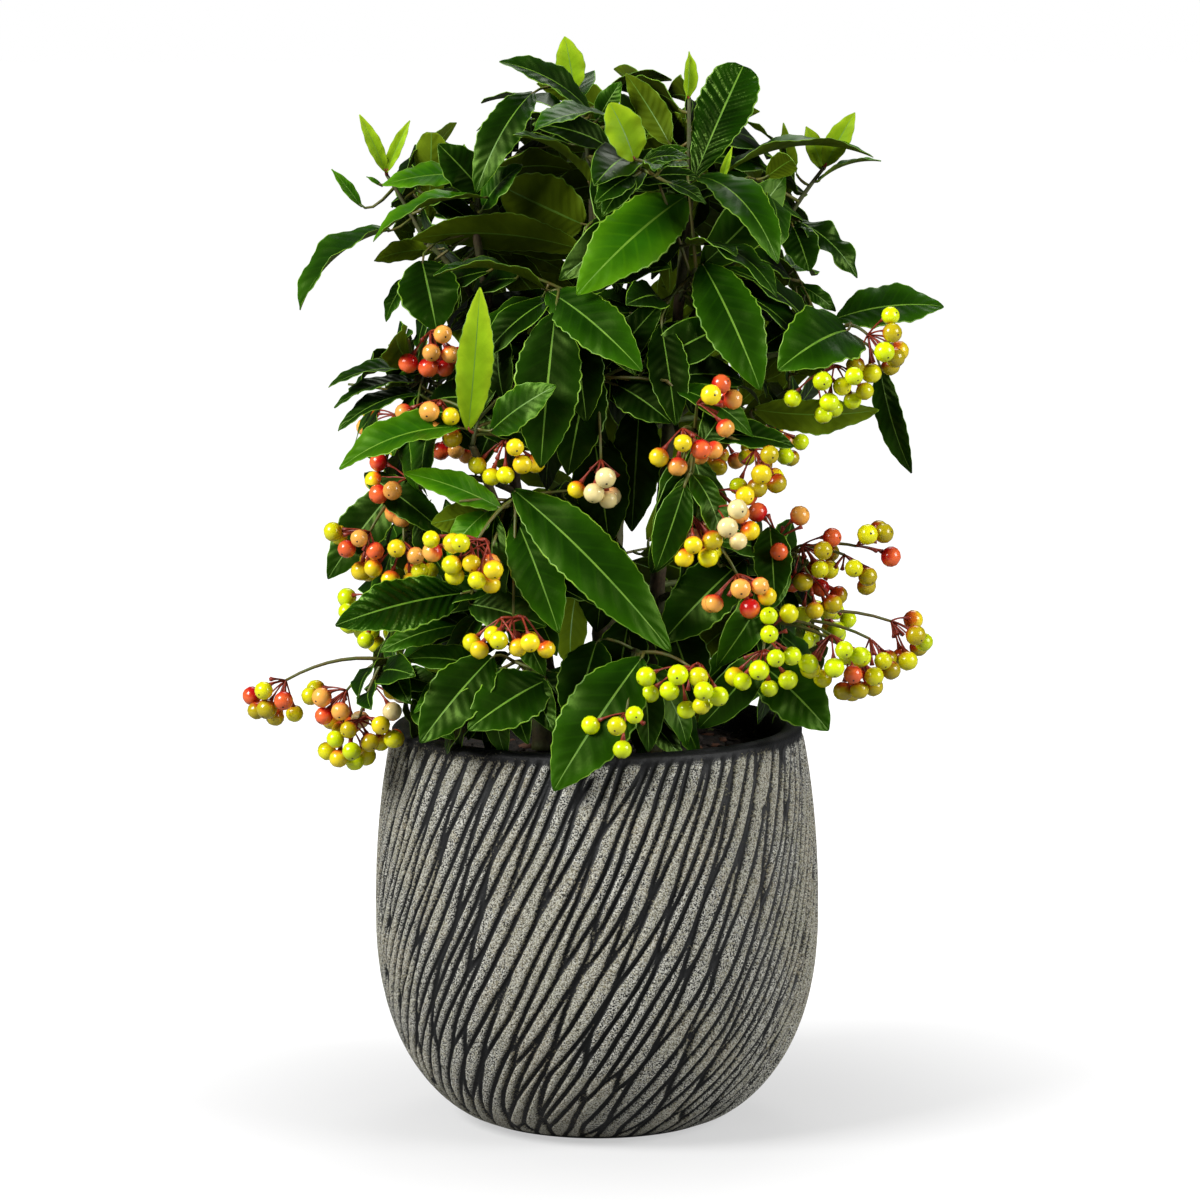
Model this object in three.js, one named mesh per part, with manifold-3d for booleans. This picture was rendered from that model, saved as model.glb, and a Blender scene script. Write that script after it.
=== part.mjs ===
// A potted coral ardisia: a clump of five slender stems in a round-bellied planter with slanting ribs.
// Leafy shoots crown the stems, and side boughs lower down carry leaves and hanging umbels of berries.
// Units are millimetres, +Z is up, and the origin is the middle of the planter's flat underside.
// The plant's front, its best side, faces -Y.
import * as THREE from "three";
import { mergeVertices } from "three/addons/utils/BufferGeometryUtils.js";
import Module from "manifold-3d";

const wasm = await Module();
wasm.setup();

const GAP = 0.3; // between two pieces that touch
const SLIVER = 0.08; // widest face that a join may lose
const TOUCH = 1e-4; // shared volume from which two pieces touch
const GOLDEN_ANGLE = Math.PI * (3 - Math.sqrt(5));

// Planter and soil
const POT = {
  height: 200,
  footRadius: 53,
  bellyRadius: 111.4,
  bellyHeight: 105,
  rimRadius: 102.4,
  wall: 9.5,
  floor: 12,
  ribs: 72,
  ribDepth: 1.9,
  ribSlant: [0.0039, 0.0045, 2.6], // turn per millimetre at the rim, what the foot adds, and its power
  ribLevels: [5, 12, 26, 50, 85, 135, 195], // the ribs start and end in plain bands
  bellyCurve: [2.3, 0.588], // powers of the curve up from the foot
  rimCurve: 2.2, // power of the draw-in to the rim
  lipRounding: 0.8,
  insideLevels: [22, 50, 105, 186, 195],
  insideFoot: 12, // slope from the inner wall to the floor
  insideFacets: 24,
};
const SOIL_TOP = 186;

// Stems: where each one leaves the soil, where it ends, and its radius low down and at its top
const STEMS = {
  centre: { foot: [2, 8], top: [-2, 0, 462], low: 4.2, high: 2.1 },
  right: { foot: [26, -8], top: [45, -25, 462], low: 4.4, high: 2.2 },
  left: { foot: [-27, 2], top: [-60, -6, 446], low: 4.0, high: 2.0 },
  front: { foot: [-14, -27], top: [-60, -78, 347], low: 3.6, high: 2.0 },
  back: { foot: [6, 34], top: [20, 62, 450], low: 4.0, high: 2.0 },
};
const STEM = { sides: 8, rings: 6, flare: 1.55, flareShare: 0.04, leanAtMiddle: 0.3 };
const BOUGH = { sides: 5, rings: 2, root: 1.9, tip: 1.2, rise: 0.22 };
const TWIG = { sides: 3, rings: 2, root: 1.3, tip: 0.9, rise: 0.05 };
const STALK = { radius: 0.75, rise: 0.18 };

// Leaves and fruit
const LEAF = {
  arch: 0.9, // turn of the midrib from base to tip, in radians
  widest: 0.46, // share of the length where the blade is widest
  thickness: 0.015, // of the length
  keel: 0.07, // lift of the edges, as a share of the width
  slimness: 0.55, // width of a leaf over its length
  fullness: 1.22, // width added to a leaf that is placed by hand
  rootShare: 0.22, // share of the length by the twig, where leaves may meet
};
const TRIES = 8; // places that the rule tries for a leaf
const RULE = {
  lean: 0.75, // of the topmost leaf from the twig's line, in radians
  leanDown: 0.75, // more for the lowest leaf
  droop: 0.25, // pull down on the topmost leaf, as a share of its reach
  droopDown: 0.35, // more for the lowest leaf
  along: 0.75, // share of the twig that bears leaves
};
const BERRY = {
  radius: 4.9,
  stalk: 15,
  stalkRadius: 0.55,
  hub: 2,
  choice: 11, // faces of the hub that may bear a berry
  clear: 2.1, // least distance of two berries, in radii
};

// Outline of the crown from the front, from the rim up: height, and how far it reaches left and right
const CROWN_OUTLINE = [
  [190, -112, 112],
  [225, -125, 125],
  [285, -132, 132],
  [320, -120, 100],
  [345, -122, 106],
  [370, -128, 128],
  [400, -98, 120],
  [430, -100, 118],
  [470, -108, 112],
  [495, -88, 98],
  [520, -48, 62],
  [526, -20, 20],
];
const CROWN_DEPTH = 138; // how far it reaches to the front and to the back

// Shoots: each is one mass of foliage. It leaves its stem at up, a share of the stem's height, on a bough to
// the point bough where it has one, and its own twig runs on to the point end. leaves follow the seeded rule, at
// about the given length. A shown leaf is [share along the twig, reach x, y and z from base to tip, width, roll
// in degrees], and a fruit is [x, y and z of the umbel's hub, number of berries].
const SHOOTS = [
  // The leafy heads of the stems
  {
    name: "crown_right", stem: "right", up: 1, end: [45, -22, 512], leaves: 4, length: 62, seed: 11,
    shown: [
      [0.02, -56, -45, -46, 35, 0],
      [0.12, 27, 18, 58, 32, 0],
      [0.1, 92, 2, 8, 24, -40],
      [0.08, 42, -40, -38, 27, -15],
      [0.15, -31, 26, 56, 18, 20],
      [1, 0, 1, 22, 8, 0],
    ],
    fruit: [],
  },
  {
    name: "crown_centre", stem: "centre", up: 1, end: [-9, 7, 516], leaves: 5, length: 56, seed: 5,
    shown: [
      [1, -7, 2, 27, 15, 0],
      [0.72, -42, -30, 22, 20, 20],
      [0.55, -34, -50, -8, 24, 15],
      [0.85, -46, 14, -46, 20, 35],
      [0.2, -38, -42, 24, 24, 20],
      [0, -84, -14, -20, 20, 20],
      [0.05, 22, -14, -44, 26, 0],
    ],
    fruit: [],
  },
  {
    name: "crown_left", stem: "left", up: 1, end: [-58, -6, 474], leaves: 4, length: 52, seed: 23,
    shown: [
      [0.6, -52, -36, -14, 22, 30],
      [0.9, -46, 4, 0, 20, 35],
      [0.8, -20, -12, 24, 22, 0],
      [0.05, -16, -34, -48, 27, 10],
      [0, -26, -10, -42, 28, 0],
    ],
    fruit: [],
  },
  {
    name: "crown_back", stem: "back", up: 1, end: [22, 66, 492],
    leaves: 10, length: 60, seed: 32, shown: [],
    fruit: [],
  },
  // Young shoots and side shoots high on the stems
  {
    name: "lime_sprig", stem: "centre", up: 0.92, end: [18, -60, 484], leaves: 0, length: 30, seed: 2,
    shown: [[1, -11, -2, 27, 18, 20]],
    fruit: [],
  },
  {
    name: "right_sprig", stem: "right", up: 0.74, bough: [94, -10, 453], end: [112, -8, 478],
    leaves: 2, length: 44, seed: 8,
    shown: [
      [1, 17, 0, 27, 12, 0],
      [1, -7, 4, 22, 9, 0],
      [0.9, 27, -8, 2, 12, -40],
      [0.1, 34, -12, -28, 20, -15],
      [0.1, 8, -24, -24, 17, 0],
    ],
    fruit: [],
  },
  {
    name: "left_arch", stem: "left", up: 0.8, bough: [-84, -6, 440], end: [-104, 0, 474],
    leaves: 2, length: 44, seed: 14,
    shown: [
      [0.4, -56, -14, -36, 25, 20],
      [1, -11, 0, 28, 9, 0],
      [1, 12, 0, 25, 8, 0],
      [0.5, -34, -5, 16, 7, 0],
    ],
    fruit: [],
  },
  {
    name: "back_top_left", stem: "left", up: 0.82, bough: [-56, 38, 430], end: [-64, 54, 450],
    leaves: 9, length: 56, seed: 41, shown: [],
    fruit: [],
  },
  {
    name: "back_top_right", stem: "right", up: 0.84, bough: [80, 30, 432], end: [90, 44, 452],
    leaves: 9, length: 56, seed: 47, shown: [],
    fruit: [],
  },
  // The middle of the front
  {
    name: "mid_centre", stem: "centre", up: 0.8, end: [-18, -58, 421], leaves: 6, length: 60, seed: 17,
    shown: [
      [0.95, 42, -38, -36, 29, 0],
      [0.95, -8, -30, -80, 30, 0],
      [0.8, -58, -14, 8, 22, 25],
      [0.6, 14, -32, -54, 22, 0],
      [0.1, -36, 6, -42, 27, 0],
    ],
    fruit: [],
  },
  {
    name: "low_centre", stem: "centre", up: 0.6, bough: [0, -42, 372], end: [0, -60, 378],
    leaves: 5, length: 54, seed: 19,
    shown: [
      [0.95, -12, -34, -46, 27, 0],
      [0.95, 34, -24, -24, 22, 0],
      [0.3, 6, 14, -60, 28, 0],
    ],
    fruit: [[2, -86, 343, 3]],
  },
  {
    name: "mid_right", stem: "right", up: 0.82, end: [48, -50, 431], leaves: 6, length: 60, seed: 29,
    shown: [
      [0.9, 32, -28, -51, 29, 0],
      [0.8, -9, -38, -66, 20, 0],
    ],
    fruit: [],
  },
  {
    name: "right_bough", stem: "right", up: 0.6, bough: [106, -26, 390], end: [124, -34, 403],
    leaves: 2, length: 50, seed: 38,
    shown: [
      [0.9, 50, 10, 4, 24, -12],
      [0.9, -35, -40, -22, 32, 0],
      [0.4, 38, 14, -66, 18, -25],
      [0.05, -20, 6, 40, 26, 0],
    ],
    fruit: [[136, -48, 397, 5], [112, -58, 384, 5]],
  },
  {
    name: "right_under", stem: "right", up: 0.52, bough: [84, -14, 346], end: [98, -6, 352],
    leaves: 1, length: 40, seed: 39,
    shown: [
      [0.7, 42, 6, 5, 28, 0],
    ],
    fruit: [],
  },
  {
    name: "front_left", stem: "front", up: 1, end: [-57, -80, 360], leaves: 4, length: 52, seed: 44,
    shown: [
      [1, 4, 0, 66, 16, 0],
      [0.8, -62, -5, -16, 24, 30],
      [0.6, 36, -20, 20, 20, 0],
      [0.1, 12, 22, -62, 28, 0],
    ],
    fruit: [[-78, -66, 373, 3], [-44, -88, 350, 4]],
  },
  {
    name: "front_node", stem: "front", up: 0.8, end: [-38, -78, 322], leaves: 4, length: 52, seed: 53,
    shown: [
      [1, 74, -28, -66, 27, 0],
      [0.9, 20, -34, -52, 24, 0],
    ],
    fruit: [[-58, -103, 303, 5], [-40, -106, 266, 5]],
  },
  {
    name: "left_mid", stem: "left", up: 0.68, bough: [-78, -16, 370], end: [-90, -22, 378],
    leaves: 5, length: 48, seed: 59,
    shown: [
      [0.9, -42, -8, -12, 17, 0],
      [0.6, -40, -16, -24, 17, 0],
      [0.3, -40, -6, -32, 17, 0],
    ],
    fruit: [[-82, -54, 401, 4]],
  },
  {
    name: "left_low", stem: "left", up: 0.5, bough: [-86, -30, 322], end: [-96, -36, 322],
    leaves: 4, length: 50, seed: 61,
    shown: [
      [0.6, -40, 6, -44, 26, 0],
      [0.5, 2, -40, 4, 20, 0],
    ],
    fruit: [[-91, -52, 333, 3], [-110, -52, 305, 4], [-93, -66, 298, 3]],
  },
  // Fruiting boughs of the front and the right
  {
    name: "centre_fruit", stem: "right", up: 0.6, bough: [40, -64, 348], end: [48, -80, 354],
    leaves: 4, length: 50, seed: 67, shown: [],
    fruit: [[50, -97, 371, 5], [41, -98, 357, 3], [76, -84, 348, 3]],
  },
  {
    name: "centre_fruit_low", stem: "right", up: 0.46, bough: [36, -64, 310], end: [44, -84, 316],
    leaves: 5, length: 50, seed: 71, shown: [],
    fruit: [[60, -88, 328, 3], [45, -103, 316, 4], [68, -108, 290, 3]],
  },
  {
    name: "right_mid", stem: "right", up: 0.4, bough: [84, -42, 290], end: [96, -48, 291],
    leaves: 4, length: 46, seed: 73,
    shown: [[0.2, 2, -24, -34, 18, 0]],
    fruit: [[100, -60, 296, 4], [124, -50, 293, 5], [104, -76, 284, 3]],
  },
  {
    name: "right_low", stem: "right", up: 0.28, bough: [68, -54, 262], end: [86, -60, 258],
    leaves: 4, length: 50, seed: 79,
    shown: [
      [0.6, 28, -8, -42, 28, 0],
      [0.3, -34, -26, 6, 28, 0],
      [0.1, 6, -10, -46, 30, 0],
    ],
    fruit: [[81, -97, 264, 3], [95, -97, 242, 4], [116, -84, 262, 3], [124, -74, 240, 4], [148, -48, 255, 5]],
  },
  // The skirt of leaves and fruit over the rim
  {
    name: "quilt", stem: "front", up: 0.48, end: [-60, -74, 276], leaves: 5, length: 50, seed: 83,
    shown: [
      [1, -60, -21, -10, 32, 0],
      [0.7, -34, -30, -24, 22, 0],
      [0.8, 14, -34, -12, 26, 0],
    ],
    fruit: [],
  },
  {
    name: "left_lowest", stem: "left", up: 0.22, bough: [-92, -42, 240], end: [-106, -46, 238],
    leaves: 2, length: 44, seed: 89,
    shown: [[0.2, -22, 16, -18, 22, 0]],
    fruit: [[-158, -46, 224, 5], [-132, -52, 222, 4], [-113, -56, 204, 7]],
  },
  {
    name: "skirt_left", stem: "front", up: 0.3, end: [-40, -78, 242], leaves: 4, length: 46, seed: 97,
    shown: [
      [0.95, -43, -24, -30, 30, 0],
      [0.8, -18, -34, -18, 30, 0],
    ],
    fruit: [],
  },
  {
    name: "skirt_centre", stem: "right", up: 0.22, bough: [16, -64, 246], end: [22, -86, 247],
    leaves: 4, length: 48, seed: 101,
    shown: [
      [1, -43, -28, -62, 36, 0],
      [0.2, -20, -26, -30, 26, 0],
      [0.5, 42, 10, 34, 28, 0],
      [0.1, -16, -12, -36, 26, 0],
    ],
    fruit: [[14, -115, 224, 4], [46, -106, 246, 6]],
  },
  // The back, which finishes the crown like the front
  {
    name: "back_mid_left", stem: "left", up: 0.62, bough: [-76, 44, 352], end: [-88, 58, 358],
    leaves: 8, length: 54, seed: 103, shown: [],
    fruit: [[-104, 76, 348, 2], [-72, 92, 344, 2]],
  },
  {
    name: "back_mid", stem: "back", up: 0.66, bough: [6, 92, 366], end: [2, 106, 374],
    leaves: 8, length: 56, seed: 107, shown: [],
    fruit: [[-22, 122, 356, 2], [28, 122, 352, 2]],
  },
  {
    name: "back_mid_right", stem: "back", up: 0.56, bough: [62, 70, 346], end: [74, 80, 352],
    leaves: 8, length: 52, seed: 109, shown: [],
    fruit: [[88, 86, 340, 2], [62, 108, 338, 2]],
  },
  {
    name: "back_low_left", stem: "left", up: 0.34, bough: [-72, 50, 262], end: [-86, 60, 264],
    leaves: 8, length: 52, seed: 113, shown: [],
    fruit: [[-112, 62, 252, 2], [-80, 96, 250, 2]],
  },
  {
    name: "back_low", stem: "back", up: 0.34, bough: [0, 88, 266], end: [-4, 102, 268],
    leaves: 8, length: 52, seed: 127, shown: [],
    fruit: [[-32, 120, 256, 2], [24, 122, 250, 2]],
  },
  {
    name: "back_low_right", stem: "back", up: 0.26, bough: [70, 58, 260], end: [84, 66, 262],
    leaves: 8, length: 52, seed: 131, shown: [],
    fruit: [[112, 62, 252, 2], [80, 98, 250, 2]],
  },
];

const COLOURS = {
  pot: [0x6e6b62, 0.85],
  soil: [0x2a2019, 0.95],
  stem: [0x6a5232, 0.75],
  bough: [0x5c6a2c, 0.7],
  foliage: [0x1f6a12, 0.35],
  fruiting: [0x6f9a1e, 0.3],
};

// The corners and faces of a ball of radius 1 with twenty faces.
const BALL = (() => {
  const ball = mergeVertices(
    new THREE.IcosahedronGeometry(1, 0).deleteAttribute("normal").deleteAttribute("uv"),
  );
  const { position } = ball.attributes;
  const index = Array.from(ball.index.array);
  const corner = (_, i) => new THREE.Vector3().fromBufferAttribute(position, i);
  return {
    corners: Array.from({ length: position.count }, corner),
    faces: Array.from({ length: index.length / 3 }, (_, i) => index.slice(3 * i, 3 * i + 3)),
  };
})();

const vec = (xyz) => new THREE.Vector3(...xyz);
const UP = new THREE.Vector3(0, 0, 1);
const FRONT = new THREE.Vector3(0, -0.85, 0.5);
const around = (value, spread, random) => value * (1 + spread * (random() - 0.5));

// A repeatable source of numbers from 0 to 1.
function seeded(seed) {
  const range = 4294967296;
  let state = (seed * 2654435761) % range;
  return () => {
    state = (state * 1664525 + 1013904223) % range;
    return state / range;
  };
}

// A closed geometry as a solid that can be joined and cut.
function solidOf(geometry) {
  const bare = geometry.clone();
  bare.deleteAttribute("normal");
  bare.deleteAttribute("uv");
  const merged = mergeVertices(bare, 1e-4);
  return new wasm.Manifold(
    new wasm.Mesh({
      numProp: 3,
      vertProperties: merged.attributes.position.array,
      triVerts: new Uint32Array(merged.index.array),
    }),
  );
}

// A solid as a geometry, with only its largest piece kept and the slivers of its joins gone.
function geometryOf(solid) {
  const pieces = solid.simplify(SLIVER).decompose().sort((a, b) => b.volume() - a.volume());
  const mesh = pieces[0].getMesh();
  const geometry = new THREE.BufferGeometry();
  geometry.setAttribute("position", new THREE.BufferAttribute(mesh.vertProperties, 3));
  geometry.setIndex(new THREE.BufferAttribute(mesh.triVerts, 1));
  geometry.computeVertexNormals();
  return geometry;
}

// Moves every vertex of a geometry to where place(x, y, z) says.
function reshape(geometry, place) {
  const position = geometry.attributes.position;
  const at = new THREE.Vector3();
  for (let i = 0; i < position.count; i++) {
    at.fromBufferAttribute(position, i);
    const to = place(at);
    position.setXYZ(i, to.x, to.y, to.z);
  }
  return geometry;
}

// A round limb along a curve, with radius(share of its length). A level limb keeps its cuts level.
function limb(curve, radius, sides, rings, level = false) {
  const frames = curve.computeFrenetFrames(rings, false);
  const tube = new THREE.CylinderGeometry(1, 1, rings, sides, rings);
  return solidOf(
    reshape(tube, (p) => {
      const ring = Math.round(p.y + rings / 2);
      const share = ring / rings;
      const centre = curve.getPoint(share);
      const across = level ? new THREE.Vector3(1, 0, 0) : frames.normals[ring];
      const over = level ? new THREE.Vector3(0, 1, 0) : frames.binormals[ring];
      const r = radius(share);
      return centre.addScaledVector(across, p.x * r).addScaledVector(over, -p.z * r);
    }),
  );
}

// The middle line of a stem, which stands up from the soil first and then leans out.
function stemCurve({ foot, top }, past = 0) {
  const low = new THREE.Vector3(foot[0], foot[1], SOIL_TOP + GAP);
  const high = vec(top).addScaledVector(UP, past);
  const knee = low.clone().lerp(high, 0.5);
  knee.x = THREE.MathUtils.lerp(low.x, high.x, STEM.leanAtMiddle);
  knee.y = THREE.MathUtils.lerp(low.y, high.y, STEM.leanAtMiddle);
  return new THREE.QuadraticBezierCurve3(low, knee, high);
}

function stemRadius({ low, high }, share) {
  const flare = 1 + (STEM.flare - 1) * Math.exp(-share / STEM.flareShare);
  return THREE.MathUtils.lerp(low, high, share) * flare;
}

function stemSolid(stem, extra = 0) {
  const radius = (share) => stemRadius(stem, share) + extra;
  return limb(stemCurve(stem, extra), radius, STEM.sides, STEM.rings, true);
}

// A curve between two points that climbs by rise, a share of its span, before it settles.
function archedCurve(from, to, rise) {
  const knee = from.clone().lerp(to, 0.5);
  knee.z += from.distanceTo(to) * rise;
  return new THREE.QuadraticBezierCurve3(from, knee, to);
}

// A tapering limb between two points.
function archedLimb(from, to, form, extra = 0) {
  const radius = (share) => THREE.MathUtils.lerp(form.root, form.tip, share) + extra;
  return limb(archedCurve(from, to, form.rise), radius, form.sides, form.rings);
}

// A leaf of eight faces: base and tip, two edges and the two sides of the midrib, on an arched midrib.
// Its upper face looks as nearly to looks as its reach allows, and extra makes it fatter all round.
function leafSolid({ base, reach, width, looks, extra = 0 }) {
  const length = reach.length();
  const along = reach.clone().normalize();
  const face = looks.clone().addScaledVector(along, -looks.dot(along)).normalize();
  const side = along.clone().cross(face);
  const rise = (length / 2) * Math.tan(LEAF.arch / 4);
  const middle = base.clone().addScaledVector(reach, LEAF.widest).addScaledVector(face, rise);
  const halfThickness = (length * LEAF.thickness) / 2 + extra;
  return solidOf(
    reshape(new THREE.OctahedronGeometry(1), (p) => {
      if (Math.abs(p.y) > 0.5) {
        return p.y > 0 ? base.clone().add(reach).addScaledVector(along, extra) : base.clone();
      }
      const edgeLift = Math.abs(p.x) * LEAF.keel * width;
      return middle
        .clone()
        .addScaledVector(side, p.x * (width / 2 + extra))
        .addScaledVector(face, p.z * halfThickness + edgeLift);
    }),
  );
}

// A leaf without its root, which is the part that has to keep clear.
function bladeOf(leaf) {
  const root = leaf.reach.clone().multiplyScalar(LEAF.rootShare);
  return { ...leaf, base: leaf.base.clone().add(root), reach: leaf.reach.clone().sub(root), extra: GAP };
}

// The next leaf down the spiral of a shoot: upright at the tip, and drooping lower down.
function ruledLeaf(shoot, twig, i, random) {
  const age = (i + 0.5) / shoot.leaves;
  const axis = twig.getTangent(1);
  const across = new THREE.Vector3().crossVectors(axis, FRONT).normalize();
  const lean = RULE.lean + RULE.leanDown * age + 0.5 * (random() - 0.5);
  const way = across.applyAxisAngle(axis, i * GOLDEN_ANGLE + 2 * Math.PI * random());
  const reach = axis.clone().multiplyScalar(Math.cos(lean)).addScaledVector(way, Math.sin(lean));
  reach.z -= RULE.droop + RULE.droopDown * age;
  reach.setLength(around(shoot.length, 0.4, random));
  const base = twig.getPoint(1 - RULE.along * age);
  const outward = base.clone().addScaledVector(reach, 0.5).setZ(0).normalize();
  const looks = outward.multiplyScalar(0.8).addScaledVector(UP, 0.6);
  return { base, reach, width: reach.length() * LEAF.slimness, looks };
}

// The leaves of a shoot that are placed one by one. They look to the front.
function shownLeaves(shoot, twig) {
  return shoot.shown.map(([share, x, y, z, width, roll], i) => {
    const reach = new THREE.Vector3(x, y, z);
    const base = twig.getPoint(0.9 * share + 0.015 * i);
    const looks = FRONT.clone().applyAxisAngle(reach.clone().normalize(), THREE.MathUtils.degToRad(roll));
    return { base, reach, width: width * LEAF.fullness, looks };
  });
}

// True where the tip of a leaf lies inside the crown's outline.
function insideCrown(tip) {
  const above = CROWN_OUTLINE.findIndex(([height]) => height > tip.z);
  if (above < 1) return false;
  const [lowZ, lowLeft, lowRight] = CROWN_OUTLINE[above - 1];
  const [highZ, highLeft, highRight] = CROWN_OUTLINE[above];
  const share = (tip.z - lowZ) / (highZ - lowZ);
  const left = THREE.MathUtils.lerp(lowLeft, highLeft, share);
  const right = THREE.MathUtils.lerp(lowRight, highRight, share);
  return tip.x > left && tip.x < right && Math.abs(tip.y) < CROWN_DEPTH;
}

// Where every berry sits, so that no two share a place.
const berryCentres = [];

// An umbel as one solid: a hub of twenty small faces, with faces that look out and down drawn out into thin
// stalks that widen again into berries, and one drawn back along the umbel's own stalk to its root.
function umbelSolid(root, [x, y, z, count], random) {
  const hub = new THREE.Vector3(x, y, z);
  const facing = new THREE.Vector3(x, y, 0).normalize().addScaledVector(UP, -1.8).normalize();
  const spin = new THREE.Quaternion().setFromAxisAngle(facing, random() * 2 * Math.PI);
  const points = BALL.corners.map((corner) => corner.clone().setLength(BERRY.hub).applyQuaternion(spin));
  const middle = (face) => middleOf(face.map((i) => points[i]));
  const wayIn = root.clone().sub(hub).normalize();
  const free = BALL.faces
    .filter((face) => middle(face).dot(wayIn) < BERRY.hub / 2)
    .sort((a, b) => middle(b).dot(facing) - middle(a).dot(facing));
  const triangles = [];
  const drawn = [];
  for (const face of spreadOut(free.slice(0, BERRY.choice), middle)) {
    const stalk = middle(face).setLength(around(BERRY.stalk, 0.25, random));
    const centre = stalk.clone().add(hub);
    const isFree = berryCentres.every((other) => other.distanceTo(centre) > BERRY.clear * BERRY.radius);
    if (drawn.length < count && isFree) {
      berryCentres.push(centre);
      addBerry(points, triangles, face, stalk, around(BERRY.radius, 0.1, random));
      drawn.push(face);
    }
  }
  const [back] = [...BALL.faces].sort((a, b) => middle(b).dot(wayIn) - middle(a).dot(wayIn));
  addStalk(points, triangles, back, archedCurve(new THREE.Vector3(), root.clone().sub(hub), STALK.rise));
  triangles.push(...BALL.faces.filter((face) => face !== back && !drawn.includes(face)));
  const geometry = new THREE.BufferGeometry().setFromPoints(points.map((point) => point.add(hub)));
  geometry.setIndex(triangles.flat());
  return solidOf(geometry);
}

function middleOf(points) {
  const sum = new THREE.Vector3();
  points.forEach((point) => sum.add(point));
  return sum.divideScalar(points.length);
}

// Faces in an order in which each is as far as can be from those before it.
function spreadOut(faces, middle) {
  const [first, ...rest] = faces;
  const order = [first];
  while (rest.length) {
    const nearness = (face) => Math.max(...order.map((other) => middle(face).dot(middle(other))));
    rest.sort((a, b) => nearness(a) - nearness(b));
    order.push(rest.shift());
  }
  return order;
}

// Draws a face of a hub back along a curve that starts in the hub, and closes it at the curve's end.
function addStalk(points, triangles, face, curve) {
  const faceMiddle = middleOf(face.map((i) => points[i]));
  const corners = face.map((i) => points[i].clone().sub(faceMiddle));
  let ring = face;
  for (const share of [0.5, 1]) {
    const along = curve.getTangent(share);
    const next = corners.map((corner) => {
      const out = corner.clone().addScaledVector(along, -corner.dot(along)).setLength(STALK.radius);
      return points.push(out.add(curve.getPoint(share))) - 1;
    });
    band(triangles, ring, next);
    ring = next;
  }
  triangles.push(ring);
}

// Draws a face of a hub out into a stalk with a berry centred on its end.
function addBerry(points, triangles, face, centre, radius) {
  const open = BALL.faces[0];
  const openMiddle = middleOf(open.map((i) => BALL.corners[i]));
  const turn = new THREE.Quaternion().setFromUnitVectors(
    openMiddle.clone().normalize(),
    centre.clone().normalize().negate(),
  );
  const first = points.length;
  for (const corner of BALL.corners) {
    points.push(corner.clone().applyQuaternion(turn).multiplyScalar(radius).add(centre));
  }
  const mouth = open.map((i) => first + i);
  const mouthMiddle = openMiddle.applyQuaternion(turn).multiplyScalar(radius).add(centre);
  const neck = mouth.map((i) => {
    const out = points[i].clone().sub(mouthMiddle).setLength(BERRY.stalkRadius);
    return points.push(out.add(mouthMiddle)) - 1;
  });
  for (const ballFace of BALL.faces.slice(1)) {
    triangles.push(ballFace.map((i) => first + i));
  }
  band(triangles, mouth, neck);
  band(triangles, neck, nearestTurn(points, neck, [face[0], face[2], face[1]]));
}

// The corners of a ring in the order that starts nearest to the first corner of another.
function nearestTurn(points, ring, other) {
  const gap = (shift) => points[ring[0]].distanceTo(points[other[shift]]);
  const shift = [0, 1, 2].sort((a, b) => gap(a) - gap(b))[0];
  return [0, 1, 2].map((i) => other[(i + shift) % 3]);
}

// Joins two rings of three corners with six triangles.
function band(triangles, from, to) {
  for (const i of [0, 1, 2]) {
    const j = (i + 1) % 3;
    triangles.push([from[i], from[j], to[j]], [from[i], to[j], to[i]]);
  }
}

// What stands already, each piece with its owner and its box, so that what comes next keeps clear of it.
const standing = [];

function boxOf(solid) {
  const { min, max } = solid.boundingBox();
  return new THREE.Box3(vec(min), vec(max));
}

function stand(owner, solid) {
  standing.push({ owner, solid, box: boxOf(solid) });
}

// True where a piece touches nothing of another owner.
function isClear(owner, solid) {
  const box = boxOf(solid);
  const near = standing.filter((other) => other.owner !== owner && other.box.intersectsBox(box));
  return near.every((other) => other.solid.intersect(solid).volume() < TOUCH);
}

const plant = new THREE.Group();

function add(name, solid, look) {
  const [color, roughness] = COLOURS[look];
  const material = new THREE.MeshStandardMaterial({ color, roughness, metalness: 0 });
  const mesh = new THREE.Mesh(geometryOf(solid), material);
  mesh.name = name;
  plant.add(mesh);
}

// Adds a piece that everything placed later keeps clear of.
function addStanding(name, solid, look) {
  add(name, solid, look);
  stand(name, solid);
}

// Outer radius of the planter's wall at a height: a full curve up from the foot, then a slight draw-in.
function wallRadius(z) {
  const { footRadius, bellyRadius, bellyHeight, rimRadius, height, bellyCurve, rimCurve } = POT;
  if (z > bellyHeight) {
    const share = (z - bellyHeight) / (height - bellyHeight);
    return bellyRadius - (bellyRadius - rimRadius) * share ** rimCurve;
  }
  const fall = ((bellyHeight - z) / bellyHeight) ** bellyCurve[0];
  return footRadius + (bellyRadius - footRadius) * (1 - fall) ** bellyCurve[1];
}

// A solid of revolution about Z from a list of [radius, height].
function turned(points, facets) {
  const profile = points.map(([r, z]) => new THREE.Vector2(r, z));
  return new THREE.LatheGeometry(profile, facets).rotateX(Math.PI / 2);
}

// How far a rib has turned at a height, in radians.
function ribTurn(z) {
  const [rim, foot, power] = POT.ribSlant;
  const rest = 1 - z / POT.height;
  return rim * z + ((foot * POT.height) / (power + 1)) * (1 - rest ** (power + 1));
}

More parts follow.
